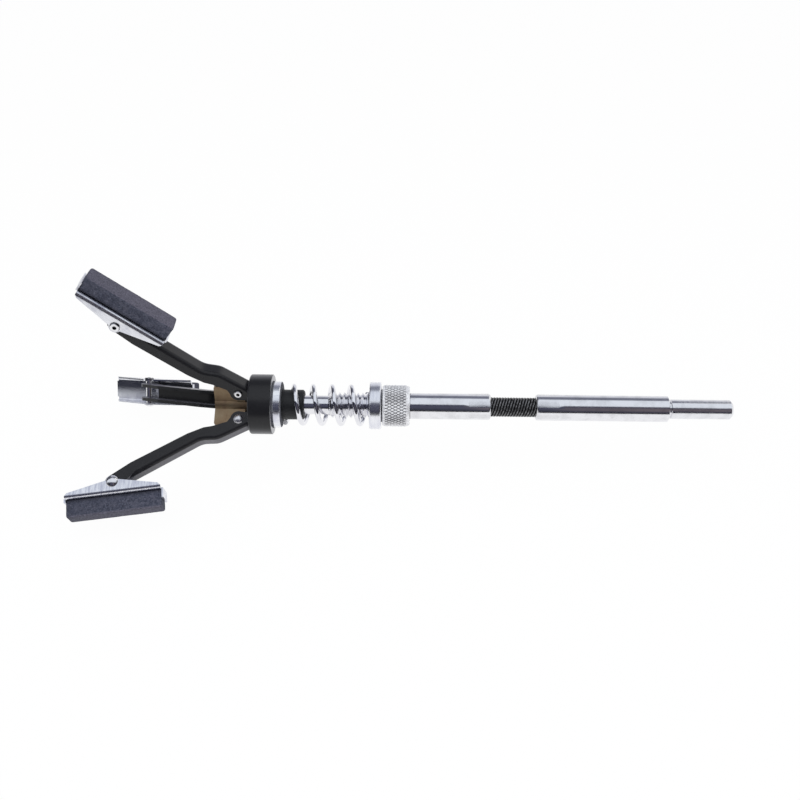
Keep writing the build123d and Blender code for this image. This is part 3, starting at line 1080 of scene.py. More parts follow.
@dataclass
class AdjustingNut:
    """The diamond-knurled nut that sets the spring's force.

    Attributes:
        front: Place of the neck's face, which bears on the thrust washer.
        neck: Length of the neck.
        neck_radius: Radius of the neck.
        bore: Radius of the bore.
        length: Length of the nut behind its neck.
        crest: Radius over the knurl.
        depth: Depth of the knurl.
        front_edge: Chamfer in front of the knurl.
        rear_edge: Chamfer behind it.
        rim: Radius at the outer end of both chamfers.
        diamonds: Diamonds round the nut.
        rows: Half diamonds along the nut.
        countersink: Size of the chamfer at the bore's rear.
    """

    front: float = -88.8
    neck: float = 0.4
    neck_radius: float = 5.0
    bore: float = 3.98
    length: float = 8.3
    crest: float = 6.4
    depth: float = 0.26
    front_edge: float = 0.25
    rear_edge: float = 0.6
    rim: float = 5.95
    diamonds: int = 42
    rows: int = 8
    countersink: float = 0.4

    def knurl(self) -> Piece:
        """Model the knurled band: alternate points of a grid stand proud.

        Returns:
            The open band.
        """
        start = self.front + self.neck + self.front_edge
        span = self.length - self.front_edge - self.rear_edge
        middle = (start + span / 2) * MM
        band = Bench.add(
            "knurled_nut",
            bpy.ops.mesh.primitive_cylinder_add,
            vertices=2 * self.diamonds,
            radius=(self.crest - self.depth) * MM,
            depth=span * MM,
            end_fill_type="NOTHING",
            rotation=(0, math.pi / 2, 0),
            location=(middle, 0, 0),
        )
        Bench.edit(band)
        Bench.pick(band, lambda spot: abs(spot.x - middle) < NEAR, Part.SIDE)
        bpy.ops.mesh.subdivide(number_cuts=self.rows - 1)

        def proud(spot: Vector) -> bool:
            """Whether a grid point is a crest; both ends of the band stay low."""
            along = round((spot.x / MM - start) / (span / self.rows))
            round_it = round(math.atan2(spot.y, spot.z) / (math.pi / self.diamonds))
            return 0 < along < self.rows and (along + round_it) % 2 == 0

        Bench.pick(band, proud, Part.POINT)
        grow = self.crest / (self.crest - self.depth)
        bpy.ops.transform.resize(value=(1, grow, grow), center_override=(0, 0, 0))
        bpy.ops.mesh.select_all(action="SELECT")
        bpy.ops.mesh.quads_convert_to_tris(quad_method="SHORTEST_DIAGONAL")
        return band

    @staticmethod
    def rim_out(steps: Sequence[tuple[float, float, float]]) -> None:
        """Extrude the selected ring again and again, as a lathe tool would go round it.

        Args:
            steps: Travel along the axis, radius before and radius after, for each ring.
        """
        for travel, before, after in steps:
            bpy.ops.mesh.extrude_edges_move(TRANSFORM_OT_translate={"value": (travel * MM, 0, 0)})
            grow = after / before
            bpy.ops.transform.resize(value=(1, grow, grow), center_override=(0, 0, 0))

    def build(self) -> Piece:
        """Make the whole nut.

        Returns:
            The piece, riding with the nut.
        """
        band = self.knurl()
        low, mouth = self.crest - self.depth, self.bore + self.countersink
        start = self.front + self.neck + self.front_edge
        end = self.front + self.neck + self.length - self.rear_edge
        Bench.pick(band, lambda spot: abs(spot.x - start * MM) < NEAR, Part.POINT)
        self.rim_out(
            [
                (-self.front_edge, low, self.rim),
                (0.0, self.rim, self.neck_radius),
                (-self.neck, self.neck_radius, self.neck_radius),
                (0.0, self.neck_radius, self.bore),
            ]
        )
        Bench.pick(band, lambda spot: abs(spot.x - end * MM) < NEAR, Part.POINT)
        self.rim_out(
            [
                (self.rear_edge, low, self.rim),
                (0.0, self.rim, mouth),
                (-self.countersink, mouth, self.bore),
                (self.countersink - self.length - self.neck, self.bore, self.bore),
            ]
        )
        Bench.close(band, 20.0)
        Bench.finish(band, KnurledSteel(crest=self.crest, depth=self.depth, front=start, rear=end))
        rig.replaces(band, "adjusting_nut")
        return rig.ride(band, "nut")


@dataclass
class Socket:
    """A round socket whose mouth is crimped on the flexible shaft by six jaws.

    Attributes:
        mouth: Place of the mouth's face.
        inward: Direction into the socket along the axis, 1 or -1.
        radius: Outside radius.
        bore: Radius of the bore.
        depth: Depth of the bore that is modelled.
        edge: Radius of the mouth's rounded edge.
        jaws: Number of crimps.
        jaw_turn: Turn of the first crimp from +Z, in degrees.
        jaw_width: Width of a jaw, wider than the flat it leaves.
        jaw_depth: How deep it is pressed.
        jaw_length: How far the flat runs from the mouth.
        run_out: How far it takes to run out.
    """

    mouth: float
    inward: int
    radius: float = 4.0
    bore: float = 3.0
    depth: float = 3.5
    edge: float = 0.8
    jaws: int = 6
    jaw_turn: float = 40.5
    jaw_width: float = 3.0
    jaw_depth: float = 0.15
    jaw_length: float = 6.6
    run_out: float = 1.2

    def at(self, inset: float) -> float:
        """The station this far inside the mouth."""
        return self.mouth + self.inward * inset

    def bore_line(self) -> list[tuple[float, float]]:
        """Stations from the bore's floor out and over the mouth's rounded edge."""
        line = [(self.at(self.depth), 0.0), (self.at(self.depth), self.bore)]
        line.append((self.mouth, self.bore))
        for step in range(7):
            angle = math.radians(15 * step)
            rise = self.radius - self.edge + self.edge * math.sin(angle)
            line.append((self.at(self.edge * (1 - math.cos(angle))), rise))
        line.append((self.at(self.jaw_length + self.run_out + 1), self.radius))
        return line

    def crimp(self, piece: Piece) -> Piece:
        """Press the six jaws in.

        Args:
            piece: The turned piece.

        Returns:
            The crimped piece.
        """
        span = self.jaw_length + 2.0
        flat = self.radius - self.jaw_depth
        middle = self.at(self.jaw_length - span / 2)
        jaw = Bench.add(
            "jaw",
            bpy.ops.mesh.primitive_cube_add,
            size=1,
            scale=(span * MM, self.jaw_width * MM, self.jaw_width * MM),
            location=(middle * MM, 0, (flat + self.jaw_width / 2) * MM),
        )
        end = self.at(self.jaw_length) * MM
        out = self.inward * self.run_out * MM
        Bench.edit(jaw)
        Bench.pick(jaw, lambda spot: abs(spot.x - end) < NEAR, Part.FACE)
        bpy.ops.mesh.extrude_region_move(TRANSFORM_OT_translate={"value": (out, 0, 0)})
        Bench.pick(
            jaw,
            lambda spot: abs(spot.x - end - out) < NEAR and spot.z < (flat + 1) * MM,
            Part.POINT,
        )
        bpy.ops.transform.translate(value=(0, 0, 2 * self.jaw_depth * MM))
        bpy.ops.object.mode_set(mode="OBJECT")
        turns = [self.jaw_turn + 360 * number / self.jaws for number in range(self.jaws)]
        ring = [Bench.copy(jaw, "jaws", turn) for turn in turns]
        bpy.data.objects.remove(jaw)
        jaws = Bench.join(*ring)
        Bench.apply(piece, "BOOLEAN", operation="DIFFERENCE", object=jaws, solver="EXACT")
        bpy.data.objects.remove(jaws)
        return Bench.close(piece, 30.0)


@dataclass
class Shank:
    """The rear ferrule, turned in one with the drive shank behind its narrow neck.

    Attributes:
        socket: The crimped end.
        neck: Length of the neck.
        neck_radius: Radius of the neck.
        shank_radius: Radius of the drive shank.
        length: Length of the drive shank.
        tip: Chamfer at its end.
        edge: Small broken edges.
    """

    socket: Socket = field(default_factory=lambda: Socket(-41.4, 1))
    neck: float = 0.8
    neck_radius: float = 2.6
    shank_radius: float = 3.0
    length: float = 19.0
    tip: float = 0.7
    edge: float = 0.15

    def build(self) -> Piece:
        """Turn and crimp the shank.

        Returns:
            The piece, riding with the shank.
        """
        line = [
            *self.socket.bore_line(),
            (-self.neck - self.edge, self.socket.radius),
            (-self.neck, self.socket.radius - self.edge),
            (-self.neck, self.neck_radius),
            (0.0, self.neck_radius),
            (0.0, self.shank_radius - self.edge),
            (self.edge, self.shank_radius),
            (self.length - self.tip, self.shank_radius),
            (self.length, self.shank_radius - self.tip),
            (self.length, 0.0),
        ]
        piece = self.socket.crimp(Bench.turned("drive_shank", line, FINE))
        Bench.finish(piece, TurnedSteel(tag="_shank", flats=(-41.6, -34.2), worn_from=0.3))
        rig.replaces(piece, "shank")
        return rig.ride(piece, "shank")


@dataclass
class Spindle:
    """The spindle: crimped socket rod, cut thread, plain journal and stud.

    Attributes:
        socket: The rod's crimped end, towards the flexible shaft.
        thread_rear: Where the rod ends and the thread starts.
        thread_front: Where the thread ends and the journal starts.
        journal_front: Front face of the journal.
        stud_front: End of the stud in the hub.
        crest: Radius over the thread.
        root: Radius at the thread's root.
        pitch: Advance of one turn.
        journal: Radius of the journal.
        stud: Radius of the stud.
        profile: Shares of the pitch where the root's flat ends and the crest starts and ends.
    """

    socket: Socket = field(default_factory=lambda: Socket(-55.2, -1))
    thread_rear: float = -80.1
    thread_front: float = -105.0
    journal_front: float = -127.4
    stud_front: float = -136.4
    crest: float = 3.95
    root: float = 3.13
    pitch: float = 1.411
    journal: float = 2.9
    stud: float = 2.0
    profile: tuple[float, float, float] = (0.08, 0.48, 0.6)

    def thread(self) -> Piece:
        """Sweep the thread's section and cut it to a chamfered blank.

        Returns:
            The threaded length, closed.
        """
        start = self.thread_front - 2 * self.pitch
        turns = math.ceil((self.thread_rear - start) / self.pitch) + 2
        root_end, crest_start, crest_end = (start + self.pitch * share for share in self.profile)
        section = [
            (start, self.root),
            (root_end, self.root),
            (crest_start, self.crest),
            (crest_end, self.crest),
            (start + self.pitch, self.root),
        ]
        sweep = Bench.line("threaded_spindle", section)
        Bench.screw(sweep, self.pitch, times=turns, merge=True)
        Bench.close(sweep, 30.0)
        Bench.trim(sweep, self.thread_front + 0.02, True)
        Bench.trim(sweep, self.thread_rear + 0.6, False)
        blank = Bench.turned(
            "thread_blank",
            [
                (self.thread_front - 0.3, 0),
                (self.thread_front - 0.3, self.journal - 0.2),
                (self.thread_front + 0.02, self.journal),
                (self.thread_front + 1.0, self.crest + 0.02),
                (self.thread_rear + 1.0, self.crest + 0.02),
                (self.thread_rear + 1.0, 0),
            ],
        )
        Bench.apply(sweep, "BOOLEAN", operation="INTERSECT", object=blank, solver="EXACT")
        bpy.data.objects.remove(blank)
        return Bench.close(sweep, 30.0)

    def build(self) -> Piece:
        """Make the whole spindle.

        Returns:
            The piece, riding with the spindle.
        """
        thread = self.thread()
        line = [
            *self.socket.bore_line(),
            (self.thread_rear + 0.2, self.socket.radius),
            (self.thread_rear + 0.01, self.socket.radius - 0.2),
            (self.thread_rear + 0.01, 0.0),
        ]
        rod = self.socket.crimp(Bench.turned("crimped_rod", line, FINE))
        journal = Bench.turned(
            "journal",
            [
                (self.thread_front + 0.3, 0),
                (self.thread_front + 0.3, self.journal),
                (self.journal_front + 0.2, self.journal),
                (self.journal_front, self.journal - 0.2),
                (self.journal_front, self.stud),
                (self.stud_front, self.stud),
                (self.stud_front, 0),
            ],
        )
        whole = Bench.join(thread, rod, journal)
        Bench.hold(whole)
        bpy.ops.object.shade_smooth_by_angle(angle=math.radians(30))
        Bench.finish(whole, TurnedSteel(tag="_spindle", flats=(-62.4, -55.0)))
        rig.replaces(whole, "spindle")
        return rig.ride(whole, "spindle")


@dataclass
class Collar:
    """The thrust collar, its rear face turned bright round the seat washer.

    Attributes:
        mouth: Place of the mouth over the arms' tails.
        radius: Outside radius.
        mouth_radius: Radius of the mouth.
        floor: Place of the mouth's floor.
        bush: Radius of the bore for the guide bush.
        seat: Place of the recess's floor, which the seat washer stands on.
        recess: Radius of the recess.
        rear: Place of the rear face.
        edge: Rounded edge at the mouth.
        break_edge: Small chamfer round the rear face.
    """

    mouth: float = -128.9
    radius: float = 9.2
    mouth_radius: float = 7.95
    floor: float = -125.2
    bush: float = 4.6
    seat: float = -123.2
    recess: float = 7.3
    rear: float = -121.95
    edge: float = 0.6
    break_edge: float = 0.2

    def build(self) -> Piece:
        """Turn the collar.

        Returns:
            The piece, riding with the collar.
        """
        line = [(self.mouth + self.edge, self.mouth_radius), (self.mouth, self.mouth_radius + 0.1)]
        for step in range(6):
            angle = math.radians(90 - 18 * step)
            shift = self.edge * (1 - math.sin(angle))
            line.append((self.mouth + shift, self.radius - self.edge * (1 - math.cos(angle))))
        line += [
            (self.rear - self.break_edge, self.radius),
            (self.rear, self.radius - self.break_edge),
            (self.rear, self.recess),
            (self.seat, self.recess),
            (self.seat, self.bush),
            (self.floor, self.bush),
            (self.floor, self.mouth_radius),
            line[0],
        ]
        piece = Bench.turned("collar_body", line, 128)
        # A weaker painted sheen on the collar.
        Bench.finish(
            piece, BlackSatin(tag="_collar", lip=self.rear - 0.1, sheen=(0.075, 0.075, 0.085))
        )
        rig.replaces(piece, "thrust_collar")
        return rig.ride(piece, "collar")


@dataclass
class FlexibleShaft:
    """The black wound shaft between the two ferrules, left-handed, on its core.

    Attributes:
        front: Face of the front ferrule.
        rear: Face of the rear ferrule.
        sunk: How far the winding is modelled inside each ferrule.
        radius: Outside radius of the winding.
        wire: Thickness of a wire.
        spacing: Distance between neighbouring wires along the axis.
        starts: Wires laid side by side.
        core_inset: How far the core lies below the outside, in wire thicknesses.
        core_step: Distance between the core's rings, which let it bend.
        core_rings: Number of rings.
    """

    front: float = -55.2
    rear: float = -41.4
    sunk: float = 3.0
    radius: float = 3.0
    wire: float = 0.84
    spacing: float = 0.857
    starts: int = 6
    core_inset: float = 0.62
    core_step: float = 0.4
    core_rings: int = 60

    def winding(self) -> Piece:
        """Wind the wires over the whole length.

        Returns:
            The open winding with its core.
        """
        lead = self.spacing * self.starts
        start = self.rear + self.sunk + 1.0
        turns = math.ceil((self.rear - self.front + 2 * self.sunk + 2) / lead)
        wire = Bench.add(
            "wire_0",
            bpy.ops.mesh.primitive_circle_add,
            vertices=10,
            radius=self.wire / 2 * MM,
            rotation=(math.pi / 2, 0, 0),
            location=(start * MM, 0, (self.radius - self.wire / 2) * MM),
        )
        Bench.screw(wire, -lead, times=turns, steps=40)
        Bench.close(wire, 60.0)
        wires = [wire]
        for number in range(1, self.starts):
            wires.append(Bench.copy(wire, f"wire_{number}", 360 * number / self.starts))
        first, inner = self.front - self.sunk - 1, self.radius - self.wire * self.core_inset
        line = [(first + self.core_step * number, inner) for number in range(self.core_rings)]
        core = Bench.turned("shaft_core", [(line[0][0], 0), *line, (line[-1][0], 0)], 40)
        return Bench.join(wire, *wires[1:], core)

    def build(self) -> list[Piece]:
        """Make the front and rear halves, each bending across its own joint.

        Returns:
            The two pieces.
        """
        middle = (self.front + self.rear) / 2
        whole = self.winding()
        front = Bench.copy(whole, "shaft_winding_front")
        rear = Bench.copy(whole, "shaft_winding_rear")
        bpy.data.objects.remove(whole)
        Bench.trim(front, self.front - self.sunk, True)
        Bench.trim(front, middle, False)
        Bench.trim(rear, middle, True)
        Bench.trim(rear, self.rear + self.sunk, False)
        for piece in (front, rear):
            Bench.close(piece, 60.0)
            Bench.finish(piece, OxideWire(crest=self.radius))
        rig.blend(front, "spindle", "flexible_shaft", self.spot(self.front), self.spot(middle))
        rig.blend(rear, "flexible_shaft", "shank", self.spot(middle), self.spot(self.rear))
        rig.replaces(front, "flex_winding", "flex_core")
        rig.replaces(rear, "flex_winding", "flex_core")
        return [front, rear]

    @staticmethod
    def spot(station: float) -> tuple[float, float, float]:
        """The point on the axis at a station, in metres."""
        return (station * MM, 0.0, 0.0)


@dataclass
class Spring:
    """The right-handed open coil between the seat washer and the thrust washer.

    Attributes:
        front: Face of the seat washer.
        rear: Face of the thrust washer.
        radius: Mean radius of the coil.
        wire: Thickness of the wire.
        pitch: Advance of one turn.
        front_angle: Where the front end lies, in degrees from +Y towards +Z.
        middle: Where the two halves meet.
    """

    front: float = -119.2
    rear: float = -92.4
    radius: float = 5.75
    wire: float = 1.5
    pitch: float = 5.85
    front_angle: float = 245.0
    middle: float = -113.0

    def coil(self, name: str, start: float, end: float) -> Piece:
        """Sweep a stretch of the coil.

        Args:
            name: Name of the piece.
            start: Where the wire's middle starts along the axis.
            end: Where it ends.

        Returns:
            The stretch with its ends capped.
        """
        angle = self.front_angle + 360 * (start - self.front - self.wire / 2) / self.pitch
        lean = math.atan2(self.pitch, FULL_TURN * self.radius)
        piece = Bench.add(
            name,
            bpy.ops.mesh.primitive_circle_add,
            vertices=20,
            radius=self.wire / 2 * MM,
            rotation=(math.pi / 2, 0, 0),
        )
        piece.rotation_euler = Euler((0, 0, lean))
        piece.location = (0, 0, self.radius * MM)
        Bench.settle(piece)
        piece.rotation_euler = Euler((math.radians(angle - 90), 0, 0))
        piece.location = (start * MM, 0, 0)
        Bench.settle(piece)
        turns = (end - start) / self.pitch
        Bench.screw(piece, end - start, turns, steps=math.ceil(72 * turns))
        Bench.edit(piece)
        bpy.ops.mesh.fill_holes(sides=40)
        return Bench.close(piece, 50.0)

    def build(self) -> list[Piece]:
        """Make the two halves, each closing up with its own joint.

        Returns:
            The two pieces.
        """
        half = self.wire / 2
        front = self.coil("spring_front", self.front + half, self.middle)
        rear = self.coil("spring_rear", self.middle, self.rear - half)
        spot = FlexibleShaft.spot
        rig.blend(front, "collar", "spindle", spot(self.front), spot(self.middle - half))
        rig.blend(rear, "spindle", "washer", spot(self.middle + half), spot(self.rear))
        for piece in (front, rear):
            Bench.finish(piece, SpringWire())
            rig.replaces(piece, "spring")
        return [front, rear]


@dataclass
class Stones:
    """The three abrasive stones, their edges worn and their faces grainy.

    Attributes:
        length: Length of a stone.
        width: Width across the holder.
        thickness: Thickness above the holder's web.
        edge: Size of the worn edges.
        grain: Spacing of the mesh that carries the roughness.
        relief: Height of the roughness.
        seat: Height of the web's outer face over the holder's rivet.
        pivot: Place of an arm's rivet along the axis and away from it.
        swings: Angle of each arm, in degrees.
        reach: Distance from an arm's rivet to its holder's.
        tilts: Angle of each holder.
        turns: Which way round each holder is.
        grit_size: Size of the grains that the mesh shows.
        chip_size: Size of the chips.
        chip_share: Height of the chips as a share of the relief.
        level: Grey of the pattern that leaves the surface where it is.
    """

    length: float = 28.0
    width: float = 5.7
    thickness: float = 5.4
    edge: float = 0.7
    grain: float = 0.32
    relief: float = 0.07
    seat: float = 3.7
    pivot: tuple[float, float] = (-132.0, 5.95)
    swings: tuple[float, ...] = (36.8, 30.4, 31.5)
    reach: float = 41.1
    tilts: tuple[float, ...] = (37.5, 8.0, 18.0)
    turns: tuple[float, ...] = (0.0, 180.0, 0.0)
    grit_size: float = 0.7
    chip_size: float = 3.5
    chip_share: float = 1.2
    level: float = 0.75

    def pivot_of(self, number: int) -> Matrix:
        """Where an arm's rivet is, turned round the axis with its arm.

        Args:
            number: Arm, from 0.

        Returns:
            The frame of the arm's rivet, in metres.
        """
        pivot = Matrix.Translation((self.pivot[0] * MM, 0, self.pivot[1] * MM))
        return Matrix.Rotation(math.radians(120 * number), 4, "X") @ pivot

    def place(self, number: int) -> Matrix:
        """Where a holder's rivet is and how it is turned.

        Args:
            number: Arm, from 0.

        Returns:
            The holder's own frame, in metres.
        """

        def about(axis: str, angle: float) -> Matrix:
            """A turn about an axis, in degrees."""
            return Matrix.Rotation(math.radians(angle), 4, axis)

        reach = Matrix.Translation((-self.reach * MM, 0, 0))
        tilt = self.tilts[number] - self.swings[number]
        return (
            self.pivot_of(number)
            @ about("Y", self.swings[number])
            @ reach
            @ about("Y", tilt)
            @ about("Z", self.turns[number])
        )

    def blank(self) -> Piece:
        """Model one stone in its holder's frame.

        Returns:
            The stone, worn and rough.
        """
        stone = Bench.add(
            "stone_blank",
            bpy.ops.mesh.primitive_cube_add,
            size=1,
            scale=(self.length * MM, self.width * MM, self.thickness * MM),
            location=(0, 0, (self.seat + self.thickness / 2) * MM),
        )
        Bench.edit(stone)
        Bench.pick(stone, lambda spot: spot.z > (self.seat + 0.1) * MM, Part.SIDE)
        bpy.ops.mesh.bevel(offset=self.edge * MM, segments=5, affect="EDGES")
        bpy.ops.object.mode_set(mode="OBJECT")
        Bench.apply(stone, "REMESH", mode="VOXEL", voxel_size=self.grain * MM)
        return stone

    def roughen(self, stone: Piece, number: int) -> None:
        """Raise the grain and chip the edges of one stone.

        Args:
            stone: The stone.
            number: Arm, from 0, so that no two stones are alike.
        """
        grit = bpy.data.textures.new(f"grit_{number}", "CLOUDS")
        grit.noise_scale = self.grit_size * MM
        grit.noise_depth = 2
        chips = bpy.data.textures.new(f"chips_{number}", "CLOUDS")
        chips.noise_scale = self.chip_size * MM
        for texture, height in ((chips, self.relief * self.chip_share), (grit, self.relief)):
            Bench.apply(
                stone,
                "DISPLACE",
                texture=texture,
                texture_coords="GLOBAL",
                strength=height * MM,
                mid_level=self.level,
            )

    def build(self) -> list[Piece]:
        """Make the three stones.

        Returns:
            The pieces, each riding with its holder.
        """
        blank = self.blank()
        made = []
        for number in range(3):
            stone = Bench.copy(blank, f"abrasive_stone_{number + 1}")
            place = self.place(number)
            stone.matrix_world = place
            Bench.settle(stone)
            self.roughen(stone, number)
            Bench.close(stone, 50.0)
            outward = place.to_3x3() @ Vector((0, 0, 1))
            face = outward.dot(place.translation) / MM + self.seat + self.thickness
            Bench.finish(stone, Grit(tag=f"_{number + 1}", outward=tuple(outward), face=face))
            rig.replaces(stone, f"stone_{number + 1}")
            made.append(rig.ride(stone, f"holder_{number + 1}"))
        bpy.data.objects.remove(blank)
        return made


class FrameParts:
    """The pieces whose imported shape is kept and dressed."""

    @staticmethod
    def finishes() -> dict[str, Finish]:
        """List the finish of every node that stays.

        Returns:
            The finishes by the node's name.
        """
        black = BlackSatin()
        white, pale = (0.95, 0.96, 0.98), (0.7, 0.71, 0.79)
        finishes: dict[str, Finish] = {
            "hub": YellowZinc(),
            "guide_bush": BlackPolymer(),
            "spring_seat_washer": ZincPlate(
                tag="_seat",
                turn=(0.0, 0.0, 90.0),
                gloss=0.14,
                streak=0.8,
                # Painted shade on the seat washer in the gap behind the collar and on its rear face.
                clean=(-121.35, -119.35),
                dents=0.00006,
                colour=white,
                shade=pale,
            ),
            "thrust_washer": ZincPlate(
                tag="_thrust", gloss=0.14, colour=(0.91, 0.92, 0.95), shade=pale
            ),
        }
        stones = Stones()
        leans = {1: (0.0, 37.5, 0.0), 2: (-120.0, 0.0, 0.0), 3: (120.0, 0.0, 0.0)}
        for number, lean in leans.items():
            finishes[f"arm_{number}"] = black
            place = stones.place(number - 1)
            around = Matrix.Rotation(math.radians(120 * (number - 1)), 3, "X")
            across = tuple(around @ Vector((0, 1, 0)))
            pivot = tuple(stones.pivot_of(number - 1).translation / MM)
            finishes[f"arm_rivet_{number}"] = RivetSteel(
                tag=f"_arm_{number}", spot=pivot, across=across, bore=0.475, tail=1.28
            )
            finishes[f"holder_rivet_{number}"] = RivetSteel(
                tag=f"_holder_{number}",
                spot=tuple(place.translation / MM),
                across=across,
                bore=0.55,
                tail=1.485,
                gloss=0.14,
            )
            finishes[f"stone_holder_{number}"] = ZincPlate(
                turn=lean,
                tag=f"_{number}",
                streak=1.0 if number == 2 else 0.3,
                mottle=0.3 if number == 2 else 0.6,
                gloss=0.1 if number == 3 else 0.17,
                # Holder 3 is less metallic and lighter lower down: scuffing with painted light.
                scuffed_and_lit=(-12.4, -9.2) if number == 3 else (100.0, 101.0),
            )
        return finishes

    def dress(self) -> None:
        """Put each finish on its node."""
        for name, finish in self.finishes().items():
            node = frame["nodes"][name]
            if not node.material_slots:
                node.data.materials.append(None)
            for place in node.material_slots:
                place.material = finish.material()
            LOG.info("dressed %s with %s", name, type(finish).__name__)


# ---------------------------------------------------------------- studio


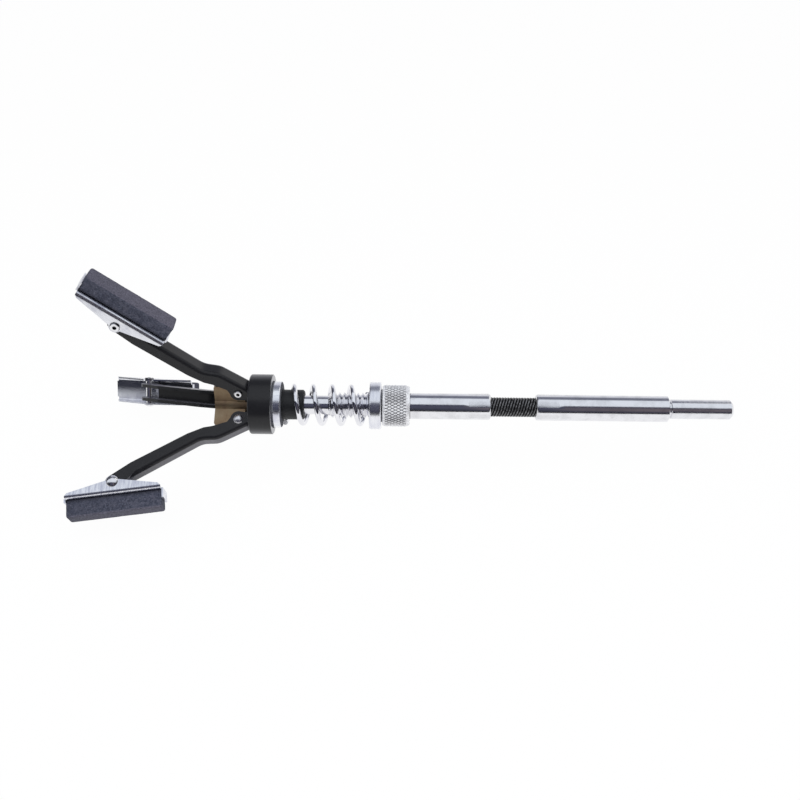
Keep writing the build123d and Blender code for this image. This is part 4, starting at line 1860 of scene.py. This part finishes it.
@dataclass
class Studio:
    """White sweep, soft overhead light and the photograph's camera.

    Attributes:
        aim: Where the camera looks along the tool's axis, in millimetres.
        raised: How far above the axis it looks, up the picture.
        elevation: Height of the camera, in degrees.
        distance: Distance from the camera to the axis.
        lens: Focal length.
        roll: How far the right end hangs down in the picture, in degrees.
        drop: How far the floor lies below the tool.
        floor_at: Place of the floor's middle along the axis.
        floor_size: Size of the floor.
    """

    aim: float = -83.06
    raised: float = 1.8
    elevation: float = 37.5
    distance: float = 308.0
    lens: float = 45.0
    roll: float = 0.69
    drop: float = 6.0
    floor_at: float = -80.0
    floor_size: float = 6000.0

    def camera(self) -> None:
        """Set the camera up as the photograph's."""
        data = bpy.data.cameras.new("camera")
        data.lens = self.lens
        data.sensor_width = 36.0
        data.clip_start, data.clip_end = 0.01, 20.0
        camera = bpy.data.objects.new("camera", data)
        bpy.context.scene.collection.objects.link(camera)
        lift, roll = math.radians(self.elevation), math.radians(self.roll)
        ahead = Vector((0, math.cos(lift), -math.sin(lift)))
        up = Vector((0, math.sin(lift), math.cos(lift)))
        along = Vector((1, 0, 0))
        right = along * math.cos(roll) + up * math.sin(roll)
        top = up * math.cos(roll) - along * math.sin(roll)
        spot = along * self.aim * MM + up * self.raised * MM - ahead * self.distance * MM
        camera.matrix_world = Matrix(
            [[right[i], top[i], -ahead[i], spot[i]] for i in range(3)] + [[0, 0, 0, 1]]
        )
        bpy.context.scene.camera = camera

    def floor(self, lowest: float) -> None:
        """Lay the white floor, low enough for the bent shaft to stay clear of it.

        Args:
            lowest: Height of the tool's lowest point, in metres.
        """
        Bench.clear()
        middle = (self.floor_at * MM, 0, lowest - self.drop * MM)
        bpy.ops.mesh.primitive_plane_add(size=self.floor_size * MM, location=middle)
        ground = bpy.context.active_object
        ground.name = "floor"
        made = bpy.data.materials.new("WhiteSweep")
        made.use_nodes = True
        graph = Graph(made.node_tree)
        grain = graph.noise(graph.place(), 40, 2)
        white = graph.mix(grain, (0.93, 0.93, 0.93), (0.95, 0.95, 0.95))
        paper = graph.node("ShaderNodeBsdfDiffuse", {}, {"Color": white})
        glow = graph.node("ShaderNodeEmission", {}, {"Color": (1, 1, 1, 1), "Strength": 1.0})
        ray = graph.node("ShaderNodeLightPath", {}, {}, "Is Camera Ray")
        mirrored = ray.also("Is Glossy Ray")
        bright = ray * 0.97 + mirrored * 0.9
        lit = graph.node("ShaderNodeMixShader", {}, {0: bright, 1: paper, 2: glow})
        # Painted reflection: seen in reflections, the floor in front of the tool is dark.
        spot = graph.along()
        ahead = (0 - spot.also("Y")).above(0.14, 0.17)
        dark = graph.node("ShaderNodeBsdfDiffuse", {}, {"Color": (0.02, 0.02, 0.024, 1)})
        whole = graph.node("ShaderNodeMixShader", {}, {0: mirrored * ahead, 1: lit, 2: dark})
        graph.close("ShaderNodeOutputMaterial", whole)
        ground.data.materials.append(made)
        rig.stage(ground)

    def sky(self) -> None:
        """Light the tool from a broad overhead panel and a pale back wall."""
        world = bpy.data.worlds.new("studio")
        bpy.context.scene.world = world
        world.use_nodes = True
        graph = Graph(world.node_tree)
        way = graph.node("ShaderNodeTexCoord", {}, {}, "Generated")
        part = graph.node("ShaderNodeSeparateXYZ", {}, {"Vector": way})
        round_axis = graph.node(
            "ShaderNodeMath", {"operation": "ARCTAN2"}, {0: part.also("Z"), 1: 0 - part.also("Y")}
        )
        share = round_axis / math.pi
        tones = [
            (0.0, (0.81, 0.85, 0.91)),
            (0.61, (0.82, 0.86, 0.92)),
            (0.65, (0.17, 0.18, 0.23)),
            (0.79, (0.20, 0.21, 0.26)),
            (0.84, (0.66, 0.67, 0.73)),
            (1.0, (0.84, 0.85, 0.89)),
        ]
        panel = graph.ramp(share, tones)
        across = part.also("X")
        warm = [
            (0.02, (0.045, 0.045, 0.07)),
            (0.1, (0.15, 0.13, 0.145)),
            (0.2, (0.14, 0.12, 0.135)),
            (0.27, (0.06, 0.06, 0.09)),
        ]
        cold = [
            (0.03, (0.04, 0.042, 0.06)),
            (0.14, (0.075, 0.078, 0.115)),
            (0.27, (0.06, 0.063, 0.1)),
        ]
        people = graph.mix(
            across.above(0.06, 0.24), graph.ramp(share, cold), graph.ramp(share, warm)
        )
        aside = (across ** 2).above(0.13, 0.25)
        people = graph.mix(aside * 0.8, people, (0.012, 0.013, 0.02))
        panel = graph.mix(
            (0 - across).above(0.34, 0.5) * share.above(0.58, 0.64), panel, (0.06, 0.06, 0.075)
        )
        room = graph.mix(share.above(0.285, 0.305), people, panel)
        wall = across.above(0.3, 0.38) * share.above(0.58, 0.62)
        room = graph.mix(wall, room, (1.0, 1.0, 1.0))
        room = graph.mix(across.above(0.7, 0.88) * 0.9, room, (0.03, 0.032, 0.04))
        low = part.also("Z").above(-0.02, 0.0)
        room = graph.mix(low, (0.9, 0.9, 0.9), room)
        ray = graph.node("ShaderNodeLightPath", {}, {}, "Is Camera Ray")
        seen = graph.mix(ray, room, (1.0, 1.0, 1.0))
        glow = graph.node("ShaderNodeBackground", {}, {"Color": seen, "Strength": 1.0})
        graph.close("ShaderNodeOutputWorld", glow)

    def lamps(self) -> None:
        """Hang the soft lamps."""
        hung = {
            "key": ((-0.25, -0.35, 0.62), 0.6, 2.6),
            "fill": ((0.3, -0.45, 0.35), 0.6, 1.2),
        }
        for name, (place, size, power) in hung.items():
            lamp = bpy.data.lights.new(name, "AREA")
            lamp.shape = "DISK"
            lamp.size = size
            lamp.energy = power
            made = bpy.data.objects.new(name, lamp)
            bpy.context.scene.collection.objects.link(made)
            spot = Vector(place)
            turn = (Vector((-0.1, 0, 0)) - spot).to_track_quat("-Z", "Y")
            made.matrix_world = Matrix.Translation(spot) @ turn.to_matrix().to_4x4()
            made.visible_glossy = False

    def build(self) -> None:
        """Set the whole studio up."""
        scene = bpy.context.scene
        scene.view_settings.view_transform = "Standard"
        self.camera()
        self.sky()
        self.lamps()
        self.floor(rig.bounds()[0].z)


def main() -> None:
    """Build the studio, the new pieces and the finishes, and note the sizes."""
    logging.basicConfig(level=logging.INFO, format="%(name)s: %(message)s")
    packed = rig.bounds()
    Studio().build()
    made: list[Piece] = []
    groups = (Shank(), AdjustingNut(), Spindle(), Collar(), FlexibleShaft(), Spring(), Stones())
    for group in groups:
        built = group.build()
        made.extend(built if isinstance(built, list) else [built])
        LOG.info("built %s", type(group).__name__)
    for piece in made:
        LOG.info("%s: %d faces", piece.name, len(piece.data.polygons))
    FrameParts().dress()
    Bench.clear()
    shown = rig.bounds()
    sizes = {
        "cad_box": [list(corner) for corner in packed],
        "visual_box": [list(corner) for corner in shown],
    }
    with open("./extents.json", "w", encoding="utf-8") as out:
        json.dump(sizes, out)


if __name__ == "__main__":
    main()
